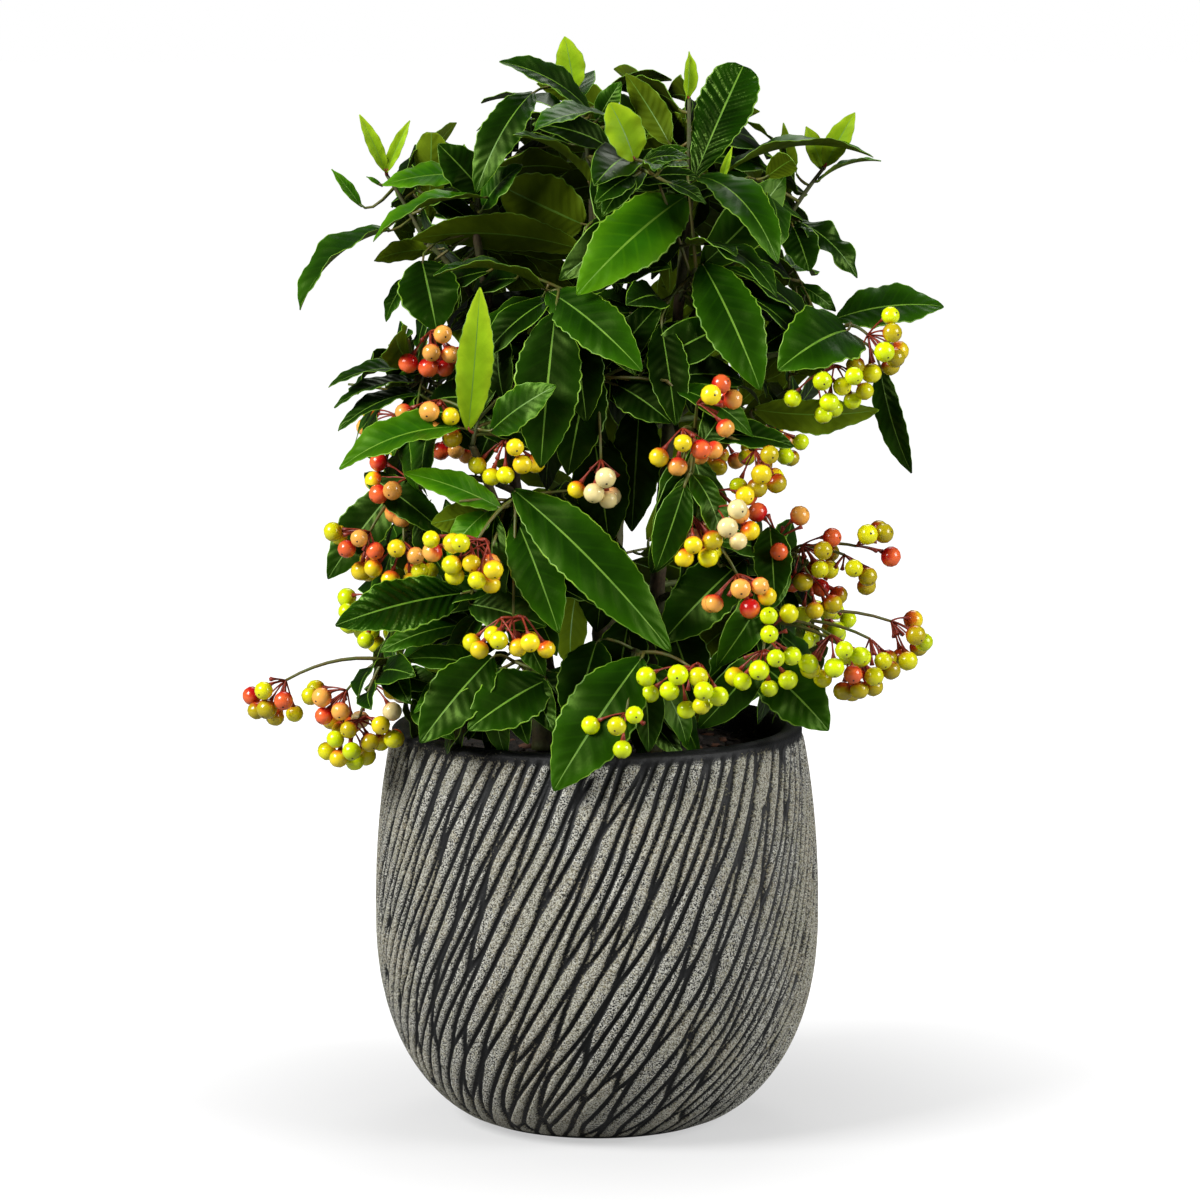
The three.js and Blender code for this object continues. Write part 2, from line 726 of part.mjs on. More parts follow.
// The wall's outside, with every second facet sunk and the ribs between turned as they rise.
function ribbedBody() {
  const { height, wall, footRadius, lipRounding, ribs, ribLevels, ribDepth } = POT;
  const lip = wallRadius(height) - wall / 2;
  const body = turned(
    [
      [0, 0],
      [footRadius, 0],
      ...ribLevels.map((z) => [wallRadius(z), z]),
      [lip + wall / 3, height - lipRounding],
      [lip, height],
      [0, height],
    ],
    ribs * 2,
  );
  return solidOf(
    reshape(body, (p) => {
      const r = Math.hypot(p.x, p.y);
      const onRibs = p.z > ribLevels[0] + 1 && p.z < ribLevels.at(-1) - 1;
      const facet = Math.round((Math.atan2(p.x, -p.y) / Math.PI) * ribs);
      const sunk = onRibs && facet % 2 !== 0;
      const angle = Math.atan2(p.y, p.x) + ribTurn(p.z);
      const radius = r - (sunk ? ribDepth : 0);
      return new THREE.Vector3(radius * Math.cos(angle), radius * Math.sin(angle), p.z);
    }),
  );
}

// The inside of the planter at a clearance from its wall, from the floor up to a level.
function potInside(clearance, top) {
  const { wall, floor, height, insideLevels, insideFoot } = POT;
  const levels = insideLevels.filter((z) => z < top);
  const radius = (z) => wallRadius(z) - wall - clearance;
  return turned(
    [
      [0, floor + clearance],
      [radius(floor) - insideFoot, floor + clearance],
      ...levels.map((z) => [radius(z), z]),
      [radius(Math.min(top, height)), top],
      [0, top],
    ],
    POT.insideFacets,
  );
}

function potSolid() {
  return ribbedBody().subtract(solidOf(potInside(0, POT.height + 1)));
}

function boughSolid(shoot, extra = 0) {
  const root = stemCurve(STEMS[shoot.stem]).getPoint(shoot.up);
  const tip = vec(shoot.bough);
  const past = tip.clone().sub(root).setLength(extra);
  return archedLimb(root, tip.add(past), BOUGH, extra);
}

function addBough(shoot) {
  const bough = boughSolid(shoot).subtract(stemSolid(STEMS[shoot.stem], GAP));
  addStanding(`${shoot.name}_bough`, bough, "bough");
}

// The start of a mass: its twig, rooted in its bough's tip or in its stem, and what cuts it clear of them.
function startMass(shoot) {
  const stem = STEMS[shoot.stem];
  const root = shoot.bough ? vec(shoot.bough) : stemCurve(stem).getPoint(shoot.up);
  const twig = archedCurve(root, vec(shoot.end), TWIG.rise);
  const radius = (share) => THREE.MathUtils.lerp(TWIG.root, TWIG.tip, share);
  const stemCut = stemSolid(stem, GAP);
  const mass = {
    shoot,
    twig,
    cut: shoot.bough ? stemCut.add(boughSolid(shoot, GAP)) : stemCut,
    solids: [],
  };
  keep(mass, limb(twig, radius, TWIG.sides, TWIG.rings));
  return mass;
}

function keep(mass, solid) {
  mass.solids.push(solid);
  stand(mass.shoot.name, solid);
}

// Adds a leaf that is placed by hand, where it keeps clear of what belongs to others.
function addShownLeaf(mass, leaf) {
  if (isClear(mass.shoot.name, leafSolid({ ...leaf, extra: GAP }).subtract(mass.cut))) {
    keep(mass, leafSolid(leaf));
  }
}

// Adds the leaves that the rule gives a mass, each at the first place tried that is in the crown and clear.
function addRuledLeaves(mass) {
  const { shoot, twig } = mass;
  const random = seeded(shoot.seed);
  for (let i = 0; i < shoot.leaves; i++) {
    for (let attempt = 0; attempt < TRIES; attempt++) {
      const leaf = ruledLeaf(shoot, twig, i, random);
      const tip = leaf.base.clone().add(leaf.reach);
      const whole = leafSolid({ ...leaf, extra: GAP }).subtract(mass.cut);
      if (insideCrown(tip) && isClear(shoot.name, whole) && isClear(null, leafSolid(bladeOf(leaf)))) {
        keep(mass, leafSolid(leaf));
        break;
      }
    }
  }
}

function addFruit(mass) {
  const random = seeded(mass.shoot.seed);
  for (const fruit of mass.shoot.fruit) {
    const root = mass.twig.getPoint(around(0.6, 0.8, random));
    keep(mass, umbelSolid(root, fruit, random));
  }
}

function finishMass({ shoot, cut, solids }) {
  const look = shoot.fruit.length ? "fruiting" : "foliage";
  add(shoot.name, wasm.Manifold.union(solids).subtract(cut), look);
}

addStanding("pot", potSolid(), "pot");
addStanding("soil", solidOf(potInside(GAP, SOIL_TOP)), "soil");
for (const [name, stem] of Object.entries(STEMS)) {
  addStanding(`stem_${name}`, stemSolid(stem), "stem");
}
SHOOTS.filter((shoot) => shoot.bough).forEach(addBough);

const masses = SHOOTS.map(startMass);
masses.forEach(addFruit);
for (const mass of masses) {
  shownLeaves(mass.shoot, mass.twig).forEach((leaf) => addShownLeaf(mass, leaf));
}
masses.forEach(addRuledLeaves);
masses.forEach(finishMass);

export default plant;
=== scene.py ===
"""A potted coral ardisia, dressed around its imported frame.

Lengths are millimetres in the part's own frame: +Z is up, the plant's front faces -Y, and the origin is the
middle of the planter's flat underside. Meshes are scaled to metres when they are made.
"""
import logging
import math
from collections.abc import Callable, Iterable
from dataclasses import dataclass
from enum import Enum
from functools import cache

import bmesh
import bpy
import numpy as np
from mathutils import Matrix, Vector, noise
from mathutils.bvhtree import BVHTree


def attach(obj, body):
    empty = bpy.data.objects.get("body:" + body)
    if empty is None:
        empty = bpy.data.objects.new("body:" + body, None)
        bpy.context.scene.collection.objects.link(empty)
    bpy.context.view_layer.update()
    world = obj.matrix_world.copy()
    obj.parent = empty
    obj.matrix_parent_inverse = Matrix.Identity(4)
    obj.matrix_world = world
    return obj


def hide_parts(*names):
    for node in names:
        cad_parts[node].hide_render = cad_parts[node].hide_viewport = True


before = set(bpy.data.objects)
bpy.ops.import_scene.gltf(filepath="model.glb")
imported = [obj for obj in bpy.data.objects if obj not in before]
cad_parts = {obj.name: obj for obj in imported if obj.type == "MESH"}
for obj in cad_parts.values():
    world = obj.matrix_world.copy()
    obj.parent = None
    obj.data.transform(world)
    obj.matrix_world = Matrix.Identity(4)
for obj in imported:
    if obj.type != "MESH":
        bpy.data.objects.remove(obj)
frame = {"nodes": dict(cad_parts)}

log = logging.getLogger("ardisia")

MILLIMETRE = 0.001
GOLDEN_ANGLE = math.pi * (3 - math.sqrt(5))
UP = np.array([0.0, 0.0, 1.0])
FRONT = np.array([0.0, -0.85, 0.5])
GAP = 0.3
SOIL_TOP = 186.0
PIECE_BODY = "root"

Point = tuple[float, float, float]
Colour = tuple[float, float, float]


# Vectors, curves and repeatable draws


def unit(vector: np.ndarray) -> np.ndarray:
    """A vector at length 1."""
    return vector / max(float(np.linalg.norm(vector)), 1e-9)


def turned(vector: np.ndarray, axis: np.ndarray, angle: float) -> np.ndarray:
    """A vector turned about a unit axis by an angle in radians."""
    along = axis * float(vector @ axis) * (1 - math.cos(angle))
    return vector * math.cos(angle) + np.cross(axis, vector) * math.sin(angle) + along


def sideways(way: np.ndarray) -> np.ndarray:
    """A unit direction square to another one."""
    guide = np.array([1.0, 0, 0]) if abs(way[0]) < 0.8 else np.array([0, 1.0, 0])
    return unit(np.cross(way, guide))


def smooth(low: float, high: float, value: np.ndarray) -> np.ndarray:
    """A soft step from 0 at low to 1 at high."""
    share = np.clip((value - low) / (high - low), 0, 1)
    return share * share * (3 - 2 * share)


def tapered(root: float, tip: float) -> Callable[[float], float]:
    """A radius that runs evenly from one at the root to one at the tip."""
    return lambda share: root + (tip - root) * share


class Draws:
    """Repeatable numbers, drawn as in the part's source."""

    RANGE = 4294967296
    SEED_FACTOR = 2654435761
    FACTOR = 1664525
    STEP = 1013904223

    def __init__(self, seed: int) -> None:
        """Starts a row of numbers from a seed."""
        self.state = (seed * self.SEED_FACTOR) % self.RANGE

    def next(self) -> float:
        """The next number, from 0 to 1."""
        self.state = (self.state * self.FACTOR + self.STEP) % self.RANGE
        return self.state / self.RANGE

    def between(self, low: float, high: float) -> float:
        """A number between two others."""
        return low + (high - low) * self.next()

    def around(self, value: float, spread: float) -> float:
        """A number near value, in a band that is spread times value wide."""
        return value * (1 + spread * (self.next() - 0.5))


@dataclass(frozen=True)
class Arch:
    """A curve from start to end that is drawn towards its knee."""

    start: np.ndarray
    knee: np.ndarray
    end: np.ndarray

    TESTS = 21

    @classmethod
    def between(cls, start: np.ndarray, end: np.ndarray, rise: float) -> "Arch":
        """A curve that climbs by rise, a share of its span, before it settles."""
        knee = (start + end) / 2 + UP * float(np.linalg.norm(end - start)) * rise
        return cls(start, knee, end)

    def point(self, share: float) -> np.ndarray:
        """The point at a share of the curve."""
        rest = 1 - share
        return self.start * rest * rest + self.knee * 2 * share * rest + self.end * share * share

    def points(self, shares: Iterable[float]) -> np.ndarray:
        """The points at some shares of the curve."""
        return np.array([self.point(share) for share in shares])

    def way(self, share: float) -> np.ndarray:
        """The unit direction at a share of the curve."""
        return unit((self.knee - self.start) * (1 - share) + (self.end - self.knee) * share)

    def nearest(self, target: np.ndarray) -> float:
        """The share at which the curve passes closest to a point."""
        shares = np.linspace(0, 1, self.TESTS)
        return float(shares[np.linalg.norm(self.points(shares) - target, axis=1).argmin()])


# Finishes as node materials, with the mottling as a node group


class Value:
    """What a node gives: a number, a colour or a direction."""

    def __init__(self, net: "Net", socket: bpy.types.NodeSocket) -> None:
        """Takes the socket that gives it."""
        self.net = net
        self.socket = socket

    def __add__(self, other: "Value | float") -> "Value":
        """This number and another."""
        return self.net.math("ADD", self, other)

    def __sub__(self, other: "Value | float") -> "Value":
        """This number less another."""
        return self.net.math("SUBTRACT", self, other)

    def __rsub__(self, other: float) -> "Value":
        """A plain number less this one."""
        return self.net.math("SUBTRACT", other, self)

    def __mul__(self, other: "Value | float") -> "Value":
        """This number times another."""
        return self.net.math("MULTIPLY", self, other)

    def step(self, low: float, high: float) -> "Value":
        """A soft step of this number from 0 at low to 1 at high."""
        feeds = {"Value": self, "From Min": low, "From Max": high}
        return self.net.given("ShaderNodeMapRange", feeds, "Result", interpolation_type="SMOOTHSTEP")


Feeds = dict[str | int, Value | Colour | float]


class Net:
    """Short calls for the nodes that the finishes are made of."""

    def __init__(self, tree: bpy.types.NodeTree) -> None:
        """Takes the tree of a material, a world or a group."""
        self.tree = tree

    def node(self, kind: str, feeds: Feeds, **settings: object) -> bpy.types.Node:
        """Adds a node.

        Args:
            kind: Its type.
            feeds: What its sockets get.
            settings: Its own settings.

        Returns:
            The node.
        """
        made = self.tree.nodes.new(kind)
        for name, value in settings.items():
            setattr(made, name, value)
        self.feed(made, feeds)
        return made

    def given(self, kind: str, feeds: Feeds, output: str | int = 0, **settings: object) -> Value:
        """Adds a node for one of its outputs."""
        return Value(self, self.node(kind, feeds, **settings).outputs[output])

    def feed(self, node: bpy.types.Node, feeds: Feeds) -> None:
        """Links a node's sockets, or sets those that get a plain number or colour.

        Args:
            node: The node.
            feeds: What its sockets get.
        """
        for key, value in feeds.items():
            if isinstance(value, Value):
                self.tree.links.new(value.socket, node.inputs[key])
            else:
                node.inputs[key].default_value = (*value, 1.0) if isinstance(value, tuple) else value

    def math(self, operation: str, first: Value | float, second: Value | float = 0.0) -> Value:
        """The result of a sum on one or two numbers."""
        return self.given("ShaderNodeMath", {0: first, 1: second}, operation=operation)

    def mix(self, share: Value, first: Value | Colour, second: Value | Colour) -> Value:
        """A colour between two others.

        Args:
            share: 0 for the first one, 1 for the second one.
            first: The first colour.
            second: The second colour.

        Returns:
            The colour.
        """
        made = self.node("ShaderNodeMix", {0: share}, data_type="RGBA")
        low, high = [i for i, socket in enumerate(made.inputs) if socket.type == "RGBA"]
        self.feed(made, {low: first, high: second})
        return Value(self, next(socket for socket in made.outputs if socket.type == "RGBA"))

    def shade(self, colour: Value, tone: Value | float) -> Value:
        """A colour made lighter or darker by a factor."""
        return self.given("ShaderNodeVectorMath", {0: colour, "Scale": tone}, operation="SCALE")

    def place(self) -> Value:
        """The place on the piece, in metres."""
        return self.given("ShaderNodeTexCoord", {}, "Object")

    def map(self, layer: str) -> tuple[Value, Value]:
        """The two shares of a piece's own map."""
        split = self.node("ShaderNodeSeparateXYZ", {0: self.given("ShaderNodeUVMap", {}, uv_map=layer)})
        return Value(self, split.outputs[0]), Value(self, split.outputs[1])

    def attribute(self, name: str) -> Value:
        """A number that the mesh carries at each of its points."""
        return self.given("ShaderNodeAttribute", {}, "Fac", attribute_name=name)

    def bump(self, height: Value, strength: float, distance: float) -> Value:
        """A surface direction pushed about by a height, with its distance in millimetres."""
        feeds = {"Height": height, "Strength": strength, "Distance": distance * MILLIMETRE}
        return self.given("ShaderNodeBump", feeds)

    def mottle(self, size: float, contrast: float) -> tuple[Value, Value]:
        """The shared mottling.

        Args:
            size: How large its patches are, in millimetres.
            contrast: How hard their edges are, from 0 to 1.

        Returns:
            A mask of the patches, and the fine grain in them.
        """
        feeds = {"Scale": 1 / (size * MILLIMETRE), "Contrast": contrast}
        made = self.node("ShaderNodeGroup", feeds, node_tree=mottling())
        return Value(self, made.outputs["Mask"]), Value(self, made.outputs["Grain"])


MOTTLING = "mottling"
GRAIN_FINENESS = 7.0
SOFT_EDGE, EDGE_RANGE = 0.26, 0.24


def mottling() -> bpy.types.NodeTree:
    """The mottling's node group, made once.

    Returns:
        The group, from Scale and Contrast to Mask and Grain.
    """
    if MOTTLING in bpy.data.node_groups:
        return bpy.data.node_groups[MOTTLING]
    tree = bpy.data.node_groups.new(MOTTLING, "ShaderNodeTree")
    for way, labels in (("INPUT", ("Scale", "Contrast")), ("OUTPUT", ("Mask", "Grain"))):
        for label in labels:
            tree.interface.new_socket(label, in_out=way, socket_type="NodeSocketFloat")
    net = Net(tree)
    given = net.node("NodeGroupInput", {})
    scale, contrast = Value(net, given.outputs["Scale"]), Value(net, given.outputs["Contrast"])
    place = net.place()
    patches = net.given("ShaderNodeTexNoise", {"Vector": place, "Scale": scale, "Detail": 3})
    finer = {"Vector": place, "Scale": scale * GRAIN_FINENESS, "Detail": 2}
    span = SOFT_EDGE - contrast * EDGE_RANGE
    mask = net.given("ShaderNodeMapRange", {"Value": patches, "From Min": 0.5 - span, "From Max": span + 0.5})
    net.node("NodeGroupOutput", {"Mask": mask, "Grain": net.given("ShaderNodeTexNoise", finer)})
    return tree


@dataclass(frozen=True)
class Finish:
    """A material of the part, known by its name."""

    name: str

    def feeds(self, net: Net) -> Feeds:
        """What feeds its surface shader, by the names of its sockets."""
        raise NotImplementedError

    @cache
    def material(self) -> bpy.types.Material:
        """Builds the material, the first time that a piece asks for it.

        Returns:
            The material.
        """
        made = bpy.data.materials.new(self.name)
        made.use_nodes = True
        net = Net(made.node_tree)
        surface = next(node for node in made.node_tree.nodes if node.type == "BSDF_PRINCIPLED")
        net.feed(surface, self.feeds(net))
        return made


LEAF_MAP = "leaf"
BERRY_MAP = "berry"
# Per-corner tone: random lightness, and for ruled leaves also painted shade towards the crown's middle.
TONE = "tone"
RIDGE = "ridge"


@dataclass(frozen=True)
class BladeFinish(Finish):
    """The face of a leaf between its midrib and its rim: brighter to edge and tip, with slanting veins."""

    inner: Colour
    outer: Colour
    roughness: float
    gloss: float
    vein: float = 0.14
    pairs: float = 10.0
    quilting: float = 0.3

    EDGE, EDGE_SHARE = (0.3, 1.05), 0.55
    TIP, TIP_SHARE = (0.5, 1.0), 0.5
    VEIN_SLANT, VEIN_EDGE = 0.16, (0.7, 1.0)
    PATCHES = (9.0, 0.2)
    LOW_TONE, TONE_RANGE = 0.86, 0.28
    DULL_PATCHES = 0.1
    SWELL, GRAIN, RELIEF = 0.5, 0.35, 0.45
    SHEEN = (0.55, 1.0, 0.14)

    def feeds(self, net: Net) -> Feeds:
        """What feeds its shader.

        Args:
            net: Its net.

        Returns:
            Values by socket.
        """
        u, along = net.map(LEAF_MAP)
        across = net.math("ABSOLUTE", u * 2.0 - 1.0)
        edge = across.step(*self.EDGE) * self.EDGE_SHARE + along.step(*self.TIP) * self.TIP_SHARE
        wave = net.math("COSINE", (along - across * self.VEIN_SLANT) * (math.tau * self.pairs))
        mask, grain = net.mottle(*self.PATCHES)
        ground = net.mix(edge, self.inner, self.outer)
        veined = net.mix(wave.step(*self.VEIN_EDGE) * self.vein, ground, self.outer)
        # The tone attribute holds painted shade for leaves deep in the crown as well as random lightness.
        tone = net.attribute(TONE) * (mask * self.TONE_RANGE + self.LOW_TONE)
        return {
            "Base Color": net.shade(veined, tone),
            "Roughness": mask * self.DULL_PATCHES + self.roughness,
            "Normal": net.bump(wave * self.SWELL - grain * self.GRAIN, self.quilting, self.RELIEF),
            "Specular IOR Level": self.gloss,
            "Specular Tint": self.SHEEN,
        }


@dataclass(frozen=True)
class PlainFinish(Finish):
    """A finely mottled small part: a rim or rib of a leaf, a stalk, a twig or a pip."""

    colour: Colour
    second: Colour
    roughness: float
    patch: float = 6.0
    relief: float = 0.1

    CONTRAST = 0.3
    DULL_GRAIN = 0.15
    STRENGTH = 0.5

    def feeds(self, net: Net) -> Feeds:
        """What feeds its shader.

        Args:
            net: Its net.

        Returns:
            Values by socket.
        """
        mask, grain = net.mottle(self.patch, self.CONTRAST)
        return {
            "Base Color": net.mix(mask, self.colour, self.second),
            "Roughness": grain * self.DULL_GRAIN + self.roughness,
            "Normal": net.bump(grain, self.STRENGTH, self.relief),
        }


@dataclass(frozen=True)
class BerryFinish(Finish):
    """The glossy skin of a berry, blushed towards its stalk."""

    flesh: Colour
    blush: Colour
    reach: float = 0.5

    PATCHES, PATCH_SHIFT = (4.0, 0.1), 0.22
    BLUSH_EDGE = 0.42
    STRENGTH, RELIEF = 0.12, 0.12
    ROUGHNESS, GLOSS = 0.24, 0.4
    COAT, COAT_ROUGHNESS = 0.35, 0.05

    def feeds(self, net: Net) -> Feeds:
        """What feeds its shader.

        Args:
            net: Its net.

        Returns:
            Values by socket.
        """
        _, height = net.map(BERRY_MAP)
        mask, grain = net.mottle(*self.PATCHES)
        uneven = height + (mask - 0.5) * self.PATCH_SHIFT
        blush = uneven.step(self.reach, self.reach + self.BLUSH_EDGE)
        return {
            "Base Color": net.shade(net.mix(blush, self.flesh, self.blush), net.attribute(TONE)),
            "Normal": net.bump(grain, self.STRENGTH, self.RELIEF),
            "Roughness": self.ROUGHNESS,
            "Specular IOR Level": self.GLOSS,
            "Coat Weight": self.COAT,
            "Coat Roughness": self.COAT_ROUGHNESS,
        }


@dataclass(frozen=True)
class BarkFinish(Finish):
    """Young bark: brown with greener stretches and pale pores."""

    brown: Colour
    green: Colour

    STRETCHES, PORES = (14.0, 0.3), (1.6, 0.8)
    PALENESS, PORE_SHARE = 1.9, 0.35
    ROUGHNESS = 0.72
    STRENGTH, RELIEF = 0.8, 0.35

    def feeds(self, net: Net) -> Feeds:
        """What feeds its shader.

        Args:
            net: Its net.

        Returns:
            Values by socket.
        """
        mask, grain = net.mottle(*self.STRETCHES)
        pores, _ = net.mottle(*self.PORES)
        ground = net.mix(mask, self.brown, self.green)
        return {
            "Base Color": net.mix(pores * self.PORE_SHARE, ground, net.shade(ground, self.PALENESS)),
            "Roughness": self.ROUGHNESS,
            "Normal": net.bump(grain, self.STRENGTH, self.RELIEF),
        }


@dataclass(frozen=True)
class PlanterFinish(Finish):
    """Charcoal stoneware, its ribs rubbed with pale gritty sand that is worn in places."""

    charcoal: Colour
    sand: Colour
    warm: Colour
    grit: Colour

    WEAR, WEAR_EDGE = (46.0, 0.45), (0.35, 0.8)
    WEAR_SMUDGE, WEAR_LEAST = 0.9, 0.3
    TINT = (20.0, 0.1)
    GRAINS, GRAIN_SHIFT = (1.1, 0.6), 0.8
    SPECKS, SPECK_EDGE, SPECK_SHARE = (0.7, 0.95), (0.3, 0.9), 0.65
    TEARS, TEAR_SHIFT = (3.6, 0.3), 0.55
    COVER, COVER_EDGE = 1.2, (0.30, 0.95)
    LOW_TONE, TONE_RANGE = 0.42, 1.1
    ROUGHNESS, SAND_ROUGHNESS = 0.5, 0.4
    GLOSS = 0.3
    BARE_RELIEF, STRENGTH, RELIEF = 0.15, 0.9, 0.6

    def feeds(self, net: Net) -> Feeds:
        """What feeds its shader.

        Args:
            net: Its net.

        Returns:
            Values by socket.
        """
        ridge = net.attribute(RIDGE)
        patches, smudge = net.mottle(*self.WEAR)
        tint, _ = net.mottle(*self.TINT)
        coarse, fine = net.mottle(*self.GRAINS)
        specks, _ = net.mottle(*self.SPECKS)
        ragged, _ = net.mottle(*self.TEARS)
        thin = patches.step(*self.WEAR_EDGE) * (smudge * self.WEAR_SMUDGE + self.WEAR_LEAST)
        torn = ridge * self.COVER - thin + (ragged - 0.5) * self.TEAR_SHIFT
        sanded = (torn + (coarse - 0.5) * self.GRAIN_SHIFT).step(*self.COVER_EDGE)
        sand = net.shade(net.mix(tint, self.sand, self.warm), coarse * self.TONE_RANGE + self.LOW_TONE)
        light = specks * ridge.step(*self.SPECK_EDGE) * self.SPECK_SHARE
        return {
            "Base Color": net.mix(light, net.mix(sanded, self.charcoal, sand), self.grit),
            "Roughness": sanded * self.SAND_ROUGHNESS + self.ROUGHNESS,
            "Specular IOR Level": self.GLOSS,
            "Normal": net.bump((coarse + fine) * (sanded + self.BARE_RELIEF), self.STRENGTH, self.RELIEF),
        }


@dataclass(frozen=True)
class PeatFinish(Finish):
    """Dark moist peat."""

    dark: Colour
    light: Colour

    CLODS = (3.0, 0.5)
    ROUGHNESS = 0.95
    STRENGTH, RELIEF = 1.0, 1.0

    def feeds(self, net: Net) -> Feeds:
        """What feeds its shader.

        Args:
            net: Its net.

        Returns:
            Values by socket.
        """
        mask, grain = net.mottle(*self.CLODS)
        return {
            "Base Color": net.mix(mask, self.dark, self.light),
            "Roughness": self.ROUGHNESS,
            "Normal": net.bump(mask + grain, self.STRENGTH, self.RELIEF),
        }


class Shade(Enum):
    """How deep the green of a leaf is: the finish of its upper face; SHADED is painted shade, a darker copy
    of the green for filler leaves inside the crown.
    """

    DARK = BladeFinish("leaf_dark", (0.002, 0.012, 0.0002), (0.009, 0.042, 0.0005), 0.34, 0.30)
    # Painted shade: a darker copy of the leaf green, for filler leaves inside the crown.
    SHADED = BladeFinish("leaf_shaded", (0.001, 0.006, 0.0001), (0.005, 0.024, 0.0003), 0.36, 0.25)
    MID = BladeFinish("leaf_mid", (0.004, 0.025, 0.0003), (0.022, 0.090, 0.001), 0.34, 0.30)
    BRIGHT = BladeFinish("leaf_bright", (0.015, 0.078, 0.001), (0.070, 0.205, 0.002), 0.36, 0.28)
    YOUNG = BladeFinish("leaf_young", (0.170, 0.300, 0.006), (0.300, 0.430, 0.012), 0.42, 0.20, 0.08, 7, 0.12)
    QUILTED = BladeFinish(
        "leaf_quilted", (0.001, 0.009, 0.0002), (0.009, 0.046, 0.0005), 0.26, 0.45, 0.25, 12, 1.2)


UNDERSIDE = BladeFinish("leaf_underside", (0.066, 0.105, 0.003), (0.120, 0.180, 0.005), 0.55, 0.12, 0.12)
YOUNG_UNDERSIDE = BladeFinish(
    "leaf_underside_young", (0.110, 0.230, 0.006), (0.200, 0.330, 0.012), 0.5, 0.15, 0.12)
LEAF_RIM = PlainFinish("leaf_rim", (0.070, 0.200, 0.004), (0.230, 0.420, 0.015), 0.45)
LEAF_RIB = PlainFinish("leaf_rib", (0.075, 0.190, 0.006), (0.140, 0.280, 0.012), 0.45)
LEAF_FINISHES = (*(shade.value for shade in Shade), UNDERSIDE, YOUNG_UNDERSIDE, LEAF_RIM, LEAF_RIB)


class Ripeness(Enum):
    """How ripe a berry is: the finish of its skin."""

    LIME = BerryFinish("berry_lime", (0.64, 0.78, 0.002), (0.66, 0.50, 0.004), 0.72)
    LEMON = BerryFinish("berry_lemon", (0.74, 0.72, 0.004), (0.80, 0.26, 0.008), 0.66)
    GOLD = BerryFinish("berry_gold", (0.86, 0.66, 0.010), (0.80, 0.11, 0.012), 0.52)
    APRICOT = BerryFinish("berry_apricot", (0.88, 0.40, 0.07), (0.76, 0.045, 0.018), 0.42)
    RED = BerryFinish("berry_red", (0.82, 0.13, 0.03), (0.56, 0.008, 0.008), 0.30)
    CREAM = BerryFinish("berry_cream", (0.92, 0.76, 0.34), (0.88, 0.36, 0.12), 0.62)
    OLIVE = BerryFinish("berry_olive", (0.50, 0.40, 0.005), (0.50, 0.05, 0.006), 0.42)


PIP = PlainFinish("berry_pip", (0.02, 0.008, 0.004), (0.05, 0.02, 0.008), 0.6, 2.0)
BERRY_FINISHES = (*(ripeness.value for ripeness in Ripeness), PIP)

RED_STALK = PlainFinish("stalk_red", (0.150, 0.010, 0.005), (0.330, 0.040, 0.012), 0.4, 3.0)
GREEN_STALK = PlainFinish("stalk_green", (0.070, 0.110, 0.010), (0.120, 0.085, 0.012), 0.45, 5.0)
BROWN_TWIG = PlainFinish("twig_brown", (0.050, 0.034, 0.010), (0.048, 0.078, 0.008), 0.6, 5.0, 0.25)
STALK_FINISHES = (RED_STALK, GREEN_STALK, BROWN_TWIG)

STEM_BARK = BarkFinish("stem_bark", (0.055, 0.034, 0.013), (0.048, 0.062, 0.010))
BOUGH_BARK = BarkFinish("bough_bark", (0.055, 0.045, 0.012), (0.050, 0.085, 0.010))
STONEWARE = PlanterFinish(
    "stoneware", (0.0055, 0.0060, 0.0065), (0.225, 0.218, 0.152), (0.235, 0.206, 0.142), (0.85, 0.84, 0.74))
PEAT = PeatFinish("peat", (0.010, 0.007, 0.005), (0.035, 0.024, 0.016))
BARK_CHIP = PlainFinish("bark_chip", (0.120, 0.045, 0.020), (0.070, 0.030, 0.015), 0.8, 3.0, 0.3)
MOSS_CHIP = PlainFinish("moss_chip", (0.070, 0.110, 0.015), (0.120, 0.150, 0.025), 0.8, 3.0, 0.3)


# Making pieces


def stand(name: str, data: bpy.types.ID) -> bpy.types.Object:
    """Puts an object with its data into the scene.

    Args:
        name: Its name.
        data: Its mesh, camera or light.

    Returns:
        The object.
    """
    made = bpy.data.objects.new(name, data)
    bpy.context.scene.collection.objects.link(made)
    return made


def finish_piece(mesh: bpy.types.Mesh, nodes: Iterable[str]) -> None:
    """Makes a mesh a piece of the part, under its own name.

    Args:
        mesh: The finished mesh, in metres and in its place.
        nodes: The frame's nodes that the piece stands for.
    """
    piece = stand(mesh.name, mesh)
    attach(piece, PIECE_BODY)
    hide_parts(*nodes)
    log.info("%s: %d faces", mesh.name, len(mesh.polygons))


def spun(section: list[tuple[float, float]], steps: int) -> bmesh.types.BMesh:
    """A closed round shape.

    Args:
        section: Radius and height of its section's corners, from axis to axis.
        steps: Its steps round the axis.

    Returns:
        The shape, with its faces outward.
    """
    bm = bmesh.new()
    verts = [bm.verts.new((radius, 0, z)) for radius, z in section]
    edges = [bm.edges.new(pair) for pair in zip(verts, verts[1:])]
    bmesh.ops.spin(bm, geom=verts + edges, cent=(0, 0, 0), axis=(0, 0, 1), angle=math.tau, steps=steps,
                   use_merge=True)
    bmesh.ops.remove_doubles(bm, verts=bm.verts, dist=1e-4)
    bmesh.ops.recalc_face_normals(bm, faces=bm.faces)
    return bm


